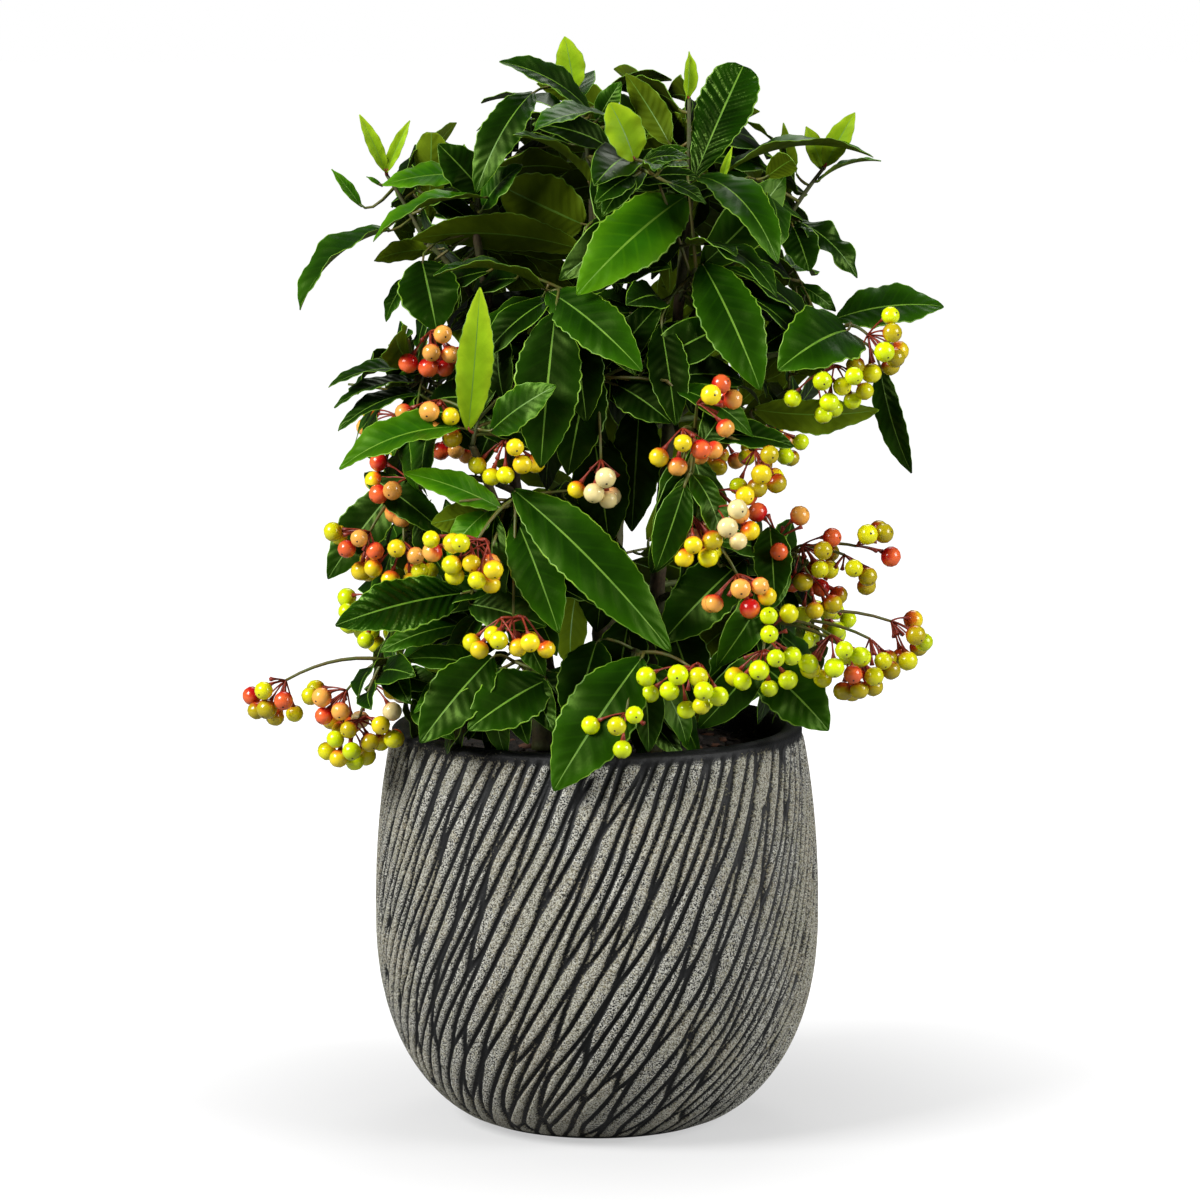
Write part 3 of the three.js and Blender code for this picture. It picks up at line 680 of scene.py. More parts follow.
def mesh_of(bm: bmesh.types.BMesh, name: str, material: bpy.types.Material) -> bpy.types.Mesh:
    """A shape as a smooth mesh.

    Args:
        bm: The shape, which is freed.
        name: The mesh's name.
        material: Its finish.

    Returns:
        The mesh.
    """
    mesh = bpy.data.meshes.new(name)
    bm.to_mesh(mesh)
    bm.free()
    mesh.polygons.foreach_set("use_smooth", np.ones(len(mesh.polygons), bool))
    mesh.materials.append(material)
    return mesh


@dataclass(frozen=True)
class Form:
    """A small shape that is laid out many times: its faces, their finishes and its map."""

    corners: np.ndarray
    faces: list[tuple[int, ...]]
    zones: np.ndarray
    shares: np.ndarray

    @classmethod
    def of(cls, bm: bmesh.types.BMesh, zone: Callable[[Vector], int],
           share: Callable[[Vector], tuple[float, float]]) -> "Form":
        """Reads a shape that bmesh has made.

        Args:
            bm: The shape, which is freed.
            zone: The zone of a face, from its middle.
            share: The map's place of a corner.

        Returns:
            The form.
        """
        bm.verts.index_update()
        corners = np.array([vert.co[:] for vert in bm.verts])
        faces = [tuple(vert.index for vert in face.verts) for face in bm.faces]
        zones = np.array([zone(face.calc_center_median()) for face in bm.faces])
        shares = np.array([share(vert.co) for vert in bm.verts])
        bm.free()
        return cls(corners, faces, zones, shares)


class Bundle:
    """Many small closed shapes joined into one mesh."""

    def __init__(self, name: str, finishes: Iterable[Finish], layer: str = LEAF_MAP) -> None:
        """Starts with nothing in it.

        Args:
            name: The mesh's name.
            finishes: The finishes that its shapes have.
            layer: The name of its map.
        """
        self.name = name
        self.finishes = list(finishes)
        self.layer = layer
        self.corners: list[np.ndarray] = []
        self.faces: list[tuple[int, ...]] = []
        self.zones: list[np.ndarray] = []
        self.shares: list[np.ndarray] = []
        self.tones: list[np.ndarray] = []
        self.count = 0

    def add(self, form: Form, corners: np.ndarray, zones: Iterable[Finish], tone: float = 1.0) -> None:
        """Adds a form at its place.

        Args:
            form: The form.
            corners: Its corners where they belong.
            zones: The finish of each of the form's zones.
            tone: How light it is beside its like; for ruled leaves this holds painted shade too.
        """
        slots = np.array([self.finishes.index(finish) for finish in zones])
        self.corners.append(corners)
        self.faces += [tuple(i + self.count for i in face) for face in form.faces]
        self.zones.append(slots[form.zones])
        self.shares.append(form.shares)
        self.tones.append(np.full(len(corners), tone))
        self.count += len(corners)

    def build(self, slot: str, nodes: Iterable[str]) -> None:
        """Makes the piece.

        Args:
            slot: Not used.
            nodes: The frame's nodes that it stands for.
        """
        mesh = bpy.data.meshes.new(self.name)
        mesh.from_pydata(np.concatenate(self.corners) * MILLIMETRE, [], self.faces)
        for finish in self.finishes:
            mesh.materials.append(finish.material())
        mesh.polygons.foreach_set("material_index", np.concatenate(self.zones).astype(np.int32))
        mesh.polygons.foreach_set("use_smooth", np.ones(len(mesh.polygons), bool))
        corner_of_loop = np.empty(len(mesh.loops), np.int32)
        mesh.loops.foreach_get("vertex_index", corner_of_loop)
        shares = np.concatenate(self.shares)[corner_of_loop]
        mesh.uv_layers.new(name=self.layer).data.foreach_set("uv", shares.astype(np.float32).ravel())
        tones = mesh.attributes.new(TONE, "FLOAT", "POINT")
        tones.data.foreach_set("value", np.concatenate(self.tones).astype(np.float32))
        mesh.update()
        finish_piece(mesh, nodes)


class Rod:
    """A round closed rod, laid along curves as stalk, twig, stem or bough."""

    def __init__(self, sides: int, rings: int) -> None:
        """Makes the straight rod.

        Args:
            sides: Its sides.
            rings: Its rows of faces.
        """
        bm = bmesh.new()
        bmesh.ops.create_cone(bm, cap_ends=True, segments=sides, radius1=1, radius2=1, depth=1)
        upright = [edge for edge in bm.edges if abs(edge.verts[0].co.z - edge.verts[1].co.z) > 0.5]
        bmesh.ops.subdivide_edges(bm, edges=upright, cuts=rings - 1)
        bmesh.ops.recalc_face_normals(bm, faces=bm.faces)
        self.form = Form.of(bm, lambda middle: 0, lambda co: (math.atan2(co.y, co.x), co.z + 0.5))
        self.rings = rings
        self.ring = np.rint(self.form.shares[:, 1] * rings).astype(int)
        self.angle = np.arctan2(self.form.corners[:, 1], self.form.corners[:, 0])

    def laid(self, curve: Arch, radius: Callable[[float], float], level: bool = False) -> np.ndarray:
        """The rod's corners along a curve.

        Args:
            curve: Its middle line.
            radius: Its radius at a share of its length.
            level: True where its cuts stay level.

        Returns:
            The corners.
        """
        shares = np.linspace(0, 1, self.rings + 1)
        ways = [UP if level else curve.way(share) for share in shares]
        over = np.array([sideways(way) for way in ways])
        across = np.cross(over, ways)
        radii = np.array([radius(share) for share in shares])[self.ring, None]
        out = (across[self.ring] * np.cos(self.angle)[:, None]
               + over[self.ring] * np.sin(self.angle)[:, None])
        return curve.points(shares)[self.ring] + out * radii


# Leaves


class Outline(Enum):
    """Powers of a blade's width towards its base and its tip."""

    LANCE = (0.80, 0.95)
    BLUNT = (0.95, 0.42)
    HEART = (0.42, 0.85)
    NARROW = (1.00, 1.15)
    OVAL = (0.62, 0.75)


@dataclass(frozen=True)
class Blade:
    """One leaf blade: its base and tip, its width and how it is bent."""

    base: Point
    tip: Point
    width: float
    roll: float = 0.0
    shade: Shade = Shade.MID
    outline: Outline = Outline.LANCE
    arch: float = 0.9
    fold: float = 0.22
    wave: float = 0.10
    twist: float = 0.0
    looks: Point | None = None

    LEAST_BEND = 0.02
    LEAST_HALF_WIDTH = 0.35
    HALF_THICKNESS, RIM_THINNING = 0.2, 0.4
    RIM = 0.85
    LOBES, LOBED_LENGTH = 13, 80.0
    SCALLOP, RIPPLE, CURL = 0.035, 0.22, 0.10
    WAVES, WAVE_SHIFT = 2.6, 2.1
    WAVE_PLACES = (37, 13)
    TWIST_MIDDLE = 0.35

    @property
    def start(self) -> np.ndarray:
        """The base as a vector."""
        return np.array(self.base, float)

    @property
    def reach(self) -> np.ndarray:
        """The way from the base to the tip."""
        return np.array(self.tip, float) - self.start

    def frame(self) -> tuple[np.ndarray, np.ndarray, np.ndarray]:
        """How it lies.

        Returns:
            The directions along the blade, across it and out of its upper face.
        """
        along = unit(self.reach)
        looks = np.array(self.looks, float) if self.looks else turned(FRONT, along, math.radians(self.roll))
        face = unit(looks - along * float(looks @ along))
        return along, np.cross(along, face), face

    def swell(self, along: np.ndarray) -> np.ndarray:
        """Its width at places along it.

        Args:
            along: Place from base to tip, 0 to 1.

        Returns:
            Shares of its full width.
        """
        low, high = self.outline.value
        widest = low / (low + high)
        return (along / widest) ** low * ((1 - along) / (1 - widest)) ** high

    def lift(self, across: np.ndarray, along: np.ndarray, half: np.ndarray) -> np.ndarray:
        """How far its fold, its waves and its curled rim lift it.

        Args:
            across: Place from rim to rim, -1 to 1.
            along: Place from base to tip, 0 to 1.
            half: Half its width there.

        Returns:
            The heights.
        """
        by_x, by_z = self.WAVE_PLACES
        phase = math.radians(self.base[0] * by_x + self.base[2] * by_z)
        shift = phase + self.WAVE_SHIFT * (across > 0)
        ruffle = np.sin(math.tau * self.WAVES * along + shift) * across ** 2
        return half * (np.abs(across) * self.fold + ruffle * self.wave - self.CURL * across ** 4)

    def laid(self, across: np.ndarray, along: np.ndarray, side: np.ndarray) -> np.ndarray:
        """Points of the blade.

        Args:
            across: Place from rim to rim, -1 to 1.
            along: Place from base to tip, 0 to 1.
            side: 1 on the upper face, -1 on the lower one, 0 in the middle.

        Returns:
            The points, in millimetres.
        """
        way, aside, face = self.frame()
        length = float(np.linalg.norm(self.reach))
        bend = max(abs(self.arch), self.LEAST_BEND)
        theta = bend * (along - 0.5)
        travel = length / 2 * (1 + np.sin(theta) / math.sin(bend / 2))
        rise = length / 2 * (np.cos(theta) - math.cos(bend / 2)) / math.sin(bend / 2)
        rise *= math.copysign(1, self.arch)
        swell = self.swell(along)
        half = np.maximum(self.width / 2 * swell, self.LEAST_HALF_WIDTH)
        rim = np.abs(across) > self.RIM
        teeth = math.tau * (self.LOBES * length / self.LOBED_LENGTH) * along + across
        notch = 1 + rim * self.SCALLOP * np.cos(teeth) * np.minimum(swell * 2, 1)
        lift = self.lift(across, along, half) + rim * self.RIPPLE * np.sin(teeth)
        lift += side * self.HALF_THICKNESS * (1 - self.RIM_THINNING * np.abs(across))
        turn = self.twist * (along - self.TWIST_MIDDLE)
        lateral = across * half * notch
        out = lateral * np.cos(turn) - lift * np.sin(turn)
        up = lateral * np.sin(turn) + lift * np.cos(turn)
        slope = -np.sin(theta) * math.copysign(1, self.arch)
        place = self.start + np.outer(travel - up * slope, way) + np.outer(out, aside)
        return place + np.outer(rise + up * np.cos(theta), face)

    def zones(self) -> tuple[Finish, ...]:
        """The finishes of its upper face, its lower face, its rim and its rib."""
        under = YOUNG_UNDERSIDE if self.shade is Shade.YOUNG else UNDERSIDE
        return self.shade.value, under, LEAF_RIM, LEAF_RIB


class BladeForm:
    """The flat blade that every leaf is bent from: a thin closed sheet, with strips for rib and rims."""

    RIB, RIM, SLACK = 0.032, 0.96, 0.01
    FIRST, SPAN = 0.012, 0.980
    UPPER_ZONE, LOWER_ZONE, RIM_ZONE, RIB_ZONE = range(4)

    def __init__(self, columns: tuple[float, ...], stations: int) -> None:
        """Makes the sheet.

        Args:
            columns: Places across it where its strips meet, from -1 to 1.
            stations: Its rows of faces.
        """
        bm = bmesh.new()
        last = len(columns) - 1
        bmesh.ops.create_grid(bm, x_segments=last, y_segments=stations, size=1)
        for vert in bm.verts:
            vert.co.x = columns[round((vert.co.x + 1) / 2 * last)]
            vert.co.y = self.FIRST + self.SPAN * (vert.co.y + 1) / 2
        bmesh.ops.solidify(bm, geom=bm.faces[:], thickness=1)
        bmesh.ops.recalc_face_normals(bm, faces=bm.faces)
        middle = sum(vert.co.z for vert in bm.verts) / len(bm.verts)
        self.form = Form.of(bm, lambda co: self.zone(co, middle), lambda co: ((co.x + 1) / 2, co.y))
        self.across, self.along = self.form.corners[:, 0], self.form.corners[:, 1]
        self.side = np.where(self.form.corners[:, 2] > middle, 1.0, -1.0)

    def zone(self, co: Vector, middle: float) -> int:
        """The zone of a face.

        Args:
            co: The middle of the face.
            middle: The height of the sheet's middle.

        Returns:
            The zone's number.
        """
        if abs(co.x) > self.RIM - self.SLACK or abs(co.z - middle) < 0.3:
            return self.RIM_ZONE
        if abs(co.x) < self.RIB + self.SLACK:
            return self.RIB_ZONE
        return self.UPPER_ZONE if co.z > middle else self.LOWER_ZONE

    def laid(self, blade: Blade) -> np.ndarray:
        """The corners of one leaf."""
        return blade.laid(self.across, self.along, self.side)


# What the front shows, and what stands already


@dataclass(frozen=True)
class FrontView:
    """The photograph's view, which the camera has."""

    distance: float = 2400.0
    pitch: float = math.radians(7.4)
    aim: Point = (1.5, 0.0, 262.0)
    lens: float = 144.0
    sensor: float = 36.0
    frame: float = 1200.0

    def seen(self, places: np.ndarray) -> np.ndarray:
        """Where points are seen.

        Args:
            places: The points.

        Returns:
            Their places across and down the frame.
        """
        out = places - np.array(self.aim)
        low = out[:, 1] * math.cos(self.pitch) - out[:, 2] * math.sin(self.pitch)
        up = out[:, 2] * math.cos(self.pitch) + out[:, 1] * math.sin(self.pitch)
        scale = self.frame * self.lens / self.sensor / (self.distance + low)
        return np.stack([self.frame / 2 + out[:, 0] * scale, self.frame / 2 - up * scale], 1)

    def eye(self) -> np.ndarray:
        """Where the camera stands."""
        back = np.array([0.0, -math.cos(self.pitch), math.sin(self.pitch)])
        return np.array(self.aim) + back * self.distance


class Sight:
    """The depth of what has to show in each small cell of the front view."""

    CELL = 6.0
    SLACK = 3.0
    OPEN = 1e9

    def __init__(self, view: FrontView) -> None:
        """Starts with nothing to protect."""
        self.view = view
        self.depth = np.full((int(view.frame / self.CELL),) * 2, self.OPEN)

    def cell(self, places: np.ndarray) -> tuple[np.ndarray, np.ndarray]:
        """The row and the column of the cells that points are seen in."""
        seen = np.clip((self.view.seen(places) / self.CELL).astype(int), 0, len(self.depth) - 1)
        return seen[:, 1], seen[:, 0]

    def protect(self, places: np.ndarray) -> None:
        """Keeps points in sight."""
        np.minimum.at(self.depth, self.cell(places), places[:, 1])

    def hides(self, places: np.ndarray) -> float:
        """The share of points that stand before what has to show."""
        behind = self.depth[self.cell(places)]
        return float(np.mean((behind < self.OPEN) & (behind > places[:, 1] + self.SLACK)))


class Thicket:
    """What stands already, for later growth to keep clear of."""

    def __init__(self, faces: list[tuple[int, ...]]) -> None:
        """Starts empty, with the faces that every shape in it has."""
        self.faces = faces
        self.trees, self.lows, self.highs = [], [], []

    def tree(self, corners: np.ndarray) -> BVHTree:
        """A shape's search tree."""
        return BVHTree.FromPolygons([Vector(corner) for corner in corners], self.faces)

    def add(self, corners: np.ndarray) -> None:
        """Makes a shape stand.

        Args:
            corners: Its corners.
        """
        self.trees.append(self.tree(corners))
        self.lows.append(corners.min(0))
        self.highs.append(corners.max(0))

    def meets(self, corners: np.ndarray) -> bool:
        """Tests a shape.

        Args:
            corners: Its corners.

        Returns:
            True where it cuts one that stands.
        """
        if not self.trees:
            return False
        low, high = corners.min(0), corners.max(0)
        near = np.flatnonzero(np.all((np.array(self.lows) < high) & (np.array(self.highs) > low), axis=1))
        own = self.tree(corners)
        return any(self.trees[i].overlap(own) for i in near)


# Limbs, from the part's source


@dataclass(frozen=True)
class Stem:
    """A stem: its foot in the soil, its top, and its radius at both."""

    name: str
    foot: tuple[float, float]
    top: Point
    low: float
    high: float

    FLARE = 1.55
    FLARE_SHARE = 0.04
    LEAN_AT_MIDDLE = 0.3

    def curve(self) -> Arch:
        """Its middle line.

        Returns:
            A curve that stands up from the soil before it leans out.
        """
        low = np.array([*self.foot, SOIL_TOP + GAP])
        high = np.array(self.top, float)
        knee = (low + high) / 2
        knee[:2] = low[:2] + (high[:2] - low[:2]) * self.LEAN_AT_MIDDLE
        return Arch(low, knee, high)

    def radius(self, share: float) -> float:
        """Its radius at a share of its length."""
        flare = 1 + (self.FLARE - 1) * math.exp(-share / self.FLARE_SHARE)
        return (self.low + (self.high - self.low) * share) * flare


STEMS = {
    stem.name: stem
    for stem in (
        Stem("centre", (2, 8), (-2, 0, 462), 4.2, 2.1),
        Stem("right", (26, -8), (45, -25, 462), 4.4, 2.2),
        Stem("left", (-27, 2), (-60, -6, 446), 4.0, 2.0),
        Stem("front", (-14, -27), (-60, -78, 347), 3.6, 2.0),
        Stem("back", (6, 34), (20, 62, 450), 4.0, 2.0),
    )
}
BOUGH_RADII, BOUGH_RISE = (1.9, 1.2), 0.22
TWIG_RADII, TWIG_RISE = (1.3, 0.9), 0.05
SIDE_TWIG_RADII = (0.9, 0.65)
LEAF_STALK, LEAF_STALK_RADII = 7.0, (0.95, 0.60)
UMBEL_STALK_RADII, UMBEL_STALK_RISE = (1.05, 0.70), 0.18


class Region(Enum):
    """The pieces that leaves, twigs and berries are joined in."""

    HEAD = "head"
    MIDDLE = "middle"
    SKIRT = "skirt"
    BACK = "back"


class Mix(Enum):
    """The ripenesses of the berries of one umbel, dealt out in turn."""

    LIME = (Ripeness.LIME, Ripeness.LIME, Ripeness.LIME, Ripeness.LIME, Ripeness.LEMON)
    LEMON = (Ripeness.LEMON, Ripeness.GOLD, Ripeness.LEMON, Ripeness.LIME, Ripeness.OLIVE)
    GOLD = (Ripeness.GOLD, Ripeness.LEMON, Ripeness.GOLD, Ripeness.APRICOT, Ripeness.LEMON)
    BLUSHED = (Ripeness.RED, Ripeness.GOLD, Ripeness.LEMON, Ripeness.APRICOT, Ripeness.GOLD, Ripeness.LEMON)
    RUSSET = (Ripeness.OLIVE, Ripeness.RED, Ripeness.OLIVE, Ripeness.LEMON)
    CORAL = (Ripeness.APRICOT, Ripeness.RED, Ripeness.APRICOT, Ripeness.GOLD, Ripeness.APRICOT)
    SCARLET = (Ripeness.RED, Ripeness.APRICOT, Ripeness.RED)
    CREAM = (Ripeness.CREAM, Ripeness.CREAM, Ripeness.GOLD, Ripeness.CREAM)
    OLIVE = (Ripeness.OLIVE, Ripeness.LEMON, Ripeness.OLIVE, Ripeness.GOLD, Ripeness.OLIVE, Ripeness.LIME)


@dataclass(frozen=True)
class Umbel:
    """A bunch of berries: its hub, the way that it hangs, and its berries' number and colours."""

    hub: Point
    hang: Point
    count: int
    mix: Mix

    def axes(self) -> tuple[np.ndarray, np.ndarray, np.ndarray]:
        """Its hub, the way that it hangs and a direction square to that."""
        hang = unit(np.array(self.hang, float))
        return np.array(self.hub, float), hang, unit(np.cross(hang, FRONT))


@dataclass(frozen=True)
class Shoot:
    """One mass of foliage: the values of the part's source, and what it shows."""

    name: str
    region: Region
    stem: str
    up: float
    end: Point
    leaves: int
    length: float
    seed: int
    bough: Point | None = None
    blades: tuple[Blade, ...] = ()
    umbels: tuple[Umbel, ...] = ()

    def leaves_stem_at(self) -> np.ndarray:
        """Where it or its bough leaves the stem."""
        return STEMS[self.stem].curve().point(self.up)

    def limb(self) -> Arch:
        """The bough that carries it."""
        return Arch.between(self.leaves_stem_at(), np.array(self.bough, float), BOUGH_RISE)

    def twig(self) -> Arch:
        """Its own twig, from its bough or else from the stem."""
        root = np.array(self.bough, float) if self.bough else self.leaves_stem_at()
        return Arch.between(root, np.array(self.end, float), TWIG_RISE)


DARK, SHADED, MID, BRIGHT, YOUNG, QUILTED = Shade
HEAD, MIDDLE, SKIRT, BACK = Region

SHOOTS = (
    Shoot("crown_right", HEAD, "right", 1, (45, -22, 512), 4, 62, 11, blades=(
        Blade((44, -30, 465), (-10, -75, 419), 34, 0, BRIGHT, arch=0.7, fold=0.12),
        Blade((47, -28, 472), (72, -10, 528), 28, 0, QUILTED, Outline.BLUNT, arch=0.35, fold=0.18),
        Blade((58, -25, 472), (136, -20, 483), 22, -58, MID, arch=1.1, fold=0.5),
        Blade((49, -32, 474), (87, -75, 434), 25, -22, MID, arch=1.3, fold=0.3),
        Blade((36, -10, 489), (14, 0, 524), 16, 150, BRIGHT, arch=0.6, fold=0.3),
        Blade((44, -22, 511), (45, -20, 535), 8, 30, YOUNG, Outline.NARROW, arch=0.2, fold=0.7),
        Blade((60, -30, 470), (66, -32, 489), 4, 0, YOUNG, Outline.NARROW, arch=0.2, fold=0.5),
    )),
    Shoot("crown_centre", HEAD, "centre", 1, (-9, 7, 516), 5, 56, 5, blades=(
        Blade((-11, 5, 515), (-16, 8, 542), 15, 10, YOUNG, arch=0.2, fold=0.15),
        Blade((-3, -5, 504), (-48, -30, 530), 21, 25, DARK, arch=0.8, fold=0.35),
        Blade((7, -35, 503), (-30, -75, 498), 21, 32, MID, arch=0.7, fold=0.4),
        Blade((-3, -20, 470), (-41, -45, 495), 18, 60, MID, arch=0.8, fold=0.5),
        Blade((-31, -10, 515), (-59, -35, 466), 21, 10, DARK, arch=1.1, fold=0.3),
        Blade((0, 0, 500), (12, -5, 520), 12, 0, MID, arch=0.4),
        Blade((-6, 20, 448), (-48, 15, 468), 34, 165, MID, Outline.OVAL, arch=0.3),
        Blade((-6, -10, 437), (-92, -20, 443), 22, 118, MID, arch=0.9, fold=0.3),
    )),
    Shoot("crown_left", HEAD, "left", 1, (-58, -6, 474), 4, 52, 23, blades=(
        Blade((-56, -30, 464), (-109, -45, 443), 22, 52, BRIGHT, arch=0.9, fold=0.45),
        Blade((-62, -4, 474), (-106, -10, 469), 18, 22, BRIGHT, arch=0.5, fold=0.2),
        Blade((-56, -15, 466), (-78, -20, 490), 20, -10, DARK, arch=0.6),
        Blade((-84, 8, 446), (-82, 8, 495), 17, 172, MID, Outline.BLUNT, arch=0.3),
        Blade((-86, -22, 433), (-78, -40, 399), 30, 0, DARK, arch=0.7),
        Blade((-90, -10, 425), (-104, -14, 402), 12, 35, MID),
        Blade((-80, -4, 437), (-110, -12, 432), 13, 118, MID, fold=0.3),
        Blade((-56, -22, 458), (-36, -30, 480), 18, -25, MID, arch=0.8),
    )),
    Shoot("crown_back", HEAD, "back", 1, (22, 66, 492), 10, 60, 32),
    Shoot("lime_sprig", HEAD, "centre", 0.92, (18, -60, 484), 0, 30, 2, blades=(
        Blade((18, -60, 483), (6, -62, 511), 20, 15, YOUNG, Outline.OVAL, arch=0.5, fold=0.3, twist=0.5),
    )),
    Shoot("right_sprig", HEAD, "right", 0.74, (112, -8, 478), 2, 44, 8, (94, -10, 453), blades=(
        Blade((112, -8, 478), (127, -8, 505), 12, 0, YOUNG, arch=0.4, fold=0.35),
        Blade((108, -9, 470), (140, -12, 481), 10, -60, BRIGHT, arch=0.9, fold=0.5),
        Blade((112, -6, 476), (103, -4, 498), 10, 0, YOUNG, arch=0.3, fold=0.3),
        Blade((98, -12, 452), (128, -22, 424), 17, -20, DARK, arch=1.0, wave=0.35),
        Blade((96, -14, 450), (104, -30, 428), 18, 0, DARK, Outline.OVAL),
    )),
    Shoot("left_arch", HEAD, "left", 0.8, (-104, 0, 474), 2, 44, 14, (-84, -6, 440), blades=(
        Blade((-101, -8, 447), (-146, -22, 408), 31, 50, MID, arch=1.1, fold=0.45),
        Blade((-104, -3, 475), (-117, -7, 504), 7.5, 0, YOUNG, arch=0.4, fold=0.5),
        Blade((-104, -3, 475), (-92, -6, 501), 6.5, 0, YOUNG, arch=0.4, fold=0.5),
        Blade((-116, -5, 458), (-131, -5, 477), 6, 0, BRIGHT, Outline.NARROW, arch=0.5, fold=0.4),
        Blade((-106, 0, 468), (-114, 0, 473), 2.5, 0, BRIGHT, Outline.NARROW),
    )),
    Shoot("back_top_left", BACK, "left", 0.82, (-64, 54, 450), 9, 56, 41, (-56, 38, 430)),
    Shoot("back_top_right", BACK, "right", 0.84, (90, 44, 452), 9, 56, 47, (80, 30, 432)),
    Shoot("mid_centre", MIDDLE, "centre", 0.8, (-18, -58, 421), 6, 60, 17, blades=(
        Blade((-24, -55, 420), (22, -95, 384), 27, 0, MID, arch=0.8, fold=0.15),
        Blade((-20, -70, 411), (-27, -90, 337), 32, 0, DARK, arch=0.8),
        Blade((-12, -60, 406), (-5, -75, 358), 24, 0, SHADED, arch=0.8),
        Blade((-25, -50, 420), (-79, -70, 428), 20, 58, DARK, arch=1.0, fold=0.5),
    )),
    Shoot("low_centre", MIDDLE, "centre", 0.6, (0, -60, 378), 5, 54, 19, (0, -42, 372), blades=(
        Blade((-3, -60, 385), (-14, -75, 332), 26, 0, SHADED, arch=0.7),
        Blade((9, -60, 375), (36, -80, 358), 22, 0, SHADED, arch=0.7),
        Blade((-2, -48, 352), (6, -56, 296), 28, 0, SHADED, arch=0.5),
        Blade((21, -42, 366), (17, -52, 302), 25, 0, SHADED, arch=0.5),
    ), umbels=(Umbel((2, -85, 341), (-2, -5, -11), 5, Mix.CREAM),)),
    Shoot("mid_right", MIDDLE, "right", 0.82, (48, -50, 431), 6, 60, 29, blades=(
        Blade((51, -40, 433), (79, -75, 373), 30, 0, MID, arch=0.8, fold=0.15),
        Blade((31, -60, 404), (38, -85, 357), 20, 0, SHADED, arch=0.7),
    )),
    Shoot("right_bough", MIDDLE, "right", 0.6, (124, -34, 403), 2, 50, 38, (106, -26, 390), blades=(
        Blade((122, -44, 400), (87, -75, 383), 36, 0, MID, Outline.HEART, arch=1.0, fold=0.25),
        Blade((117, -22, 404), (171, -20, 410), 28, -18, MID, arch=0.7, fold=0.2),
        Blade((140, -10, 381), (156, -15, 327), 14, 25, DARK, arch=1.2, fold=0.45),
        Blade((100, -10, 420), (118, -10, 407), 9, 0, MID),
    ), umbels=(
        Umbel((132, -45, 398), (6, -5, -5), 8, Mix.OLIVE),
        Umbel((111, -55, 381), (4, -5, -9), 9, Mix.LIME),
    )),
    Shoot("right_under", MIDDLE, "right", 0.52, (98, -6, 352), 1, 40, 39, (84, -14, 346), blades=(
        Blade((76, -25, 360), (139, -30, 360), 23, 165, MID, arch=0.5, fold=0.2),
    )),
    Shoot("front_left", MIDDLE, "front", 1, (-57, -80, 360), 4, 52, 44, blades=(
        Blade((-62, -80, 354), (-56, -80, 424), 18, 12, YOUNG, arch=0.3, fold=0.3),
        Blade((-65, -80, 356), (-124, -85, 336), 27, 30, BRIGHT, arch=0.9, fold=0.35),
        Blade((-51, -80, 354), (-19, -100, 378), 21, 0, MID, arch=0.6),
    ), umbels=(
        Umbel((-76, -65, 368), (-3, -3, -8), 7, Mix.CORAL),
        Umbel((-44, -75, 350), (0, -4, -9), 7, Mix.GOLD),
    )),
    Shoot("front_node", MIDDLE, "front", 0.8, (-38, -78, 322), 4, 52, 53, blades=(
        Blade((-41, -76, 326), (36, -105, 250), 31, 0, MID, arch=0.8, fold=0.15),
        Blade((-39, -80, 312), (-18, -110, 260), 25, 0, MID, arch=0.7, fold=0.15),
        Blade((-46, -84, 317), (-93, -88, 335), 17, 10, BRIGHT, arch=0.6, fold=0.25),
        Blade((-52, -80, 316), (-80, -84, 310), 16, 165, BRIGHT, arch=0.6),
        Blade((-48, -76, 318), (-72, -88, 294), 17, 20, BRIGHT, arch=0.8),
    ), umbels=(
        Umbel((-57, -100, 304), (-4, -5, -9), 13, Mix.GOLD),
        Umbel((-40, -105, 267), (0, -3, -10), 9, Mix.GOLD),
    )),
    Shoot("left_mid", MIDDLE, "left", 0.68, (-90, -22, 378), 5, 48, 59, (-78, -16, 370), blades=(
        Blade((-87, -24, 378), (-132, -32, 371), 15, 42, DARK, fold=0.4),
        Blade((-88, -24, 373), (-129, -34, 361), 14, 42, DARK, fold=0.4),
        Blade((-86, -26, 368), (-127, -38, 350), 16, 35, DARK, fold=0.35),
    ), umbels=(Umbel((-81, -50, 400), (2, -5, -9), 8, Mix.SCARLET),)),
    Shoot("left_low", MIDDLE, "left", 0.5, (-96, -36, 322), 4, 50, 61, (-86, -30, 322), blades=(
        Blade((-98, -22, 322), (-133, -30, 276), 24, 0, DARK, arch=0.6),
        Blade((-114, -42, 330), (-72, -58, 300), 18, 0, DARK, arch=0.7),
    ), umbels=(
        Umbel((-92, -50, 328), (-12, -4, -7), 6, Mix.CORAL),
        Umbel((-111, -50, 302), (-9, -4, -10), 8, Mix.BLUSHED),
        Umbel((-94, -60, 298), (0, -4, -10), 8, Mix.GOLD),
    )),
    Shoot("centre_fruit", MIDDLE, "right", 0.6, (48, -80, 354), 4, 50, 67, (40, -64, 348), umbels=(
        Umbel((48, -95, 369), (12, -3, 2), 5, Mix.CORAL),
        Umbel((41, -95, 357), (2, -5, -10), 6, Mix.CORAL),
        Umbel((76, -80, 345), (2, -5, -10), 6, Mix.OLIVE),
    )),
    Shoot("centre_fruit_low", MIDDLE, "right", 0.46, (44, -84, 316), 5, 50, 71, (36, -64, 310), umbels=(
        Umbel((58, -85, 326), (8, -2, -9), 6, Mix.CORAL),
        Umbel((45, -100, 316), (3, -5, -11), 6, Mix.LEMON),
        Umbel((57, -98, 319), (5, -5, -8), 5, Mix.CREAM),
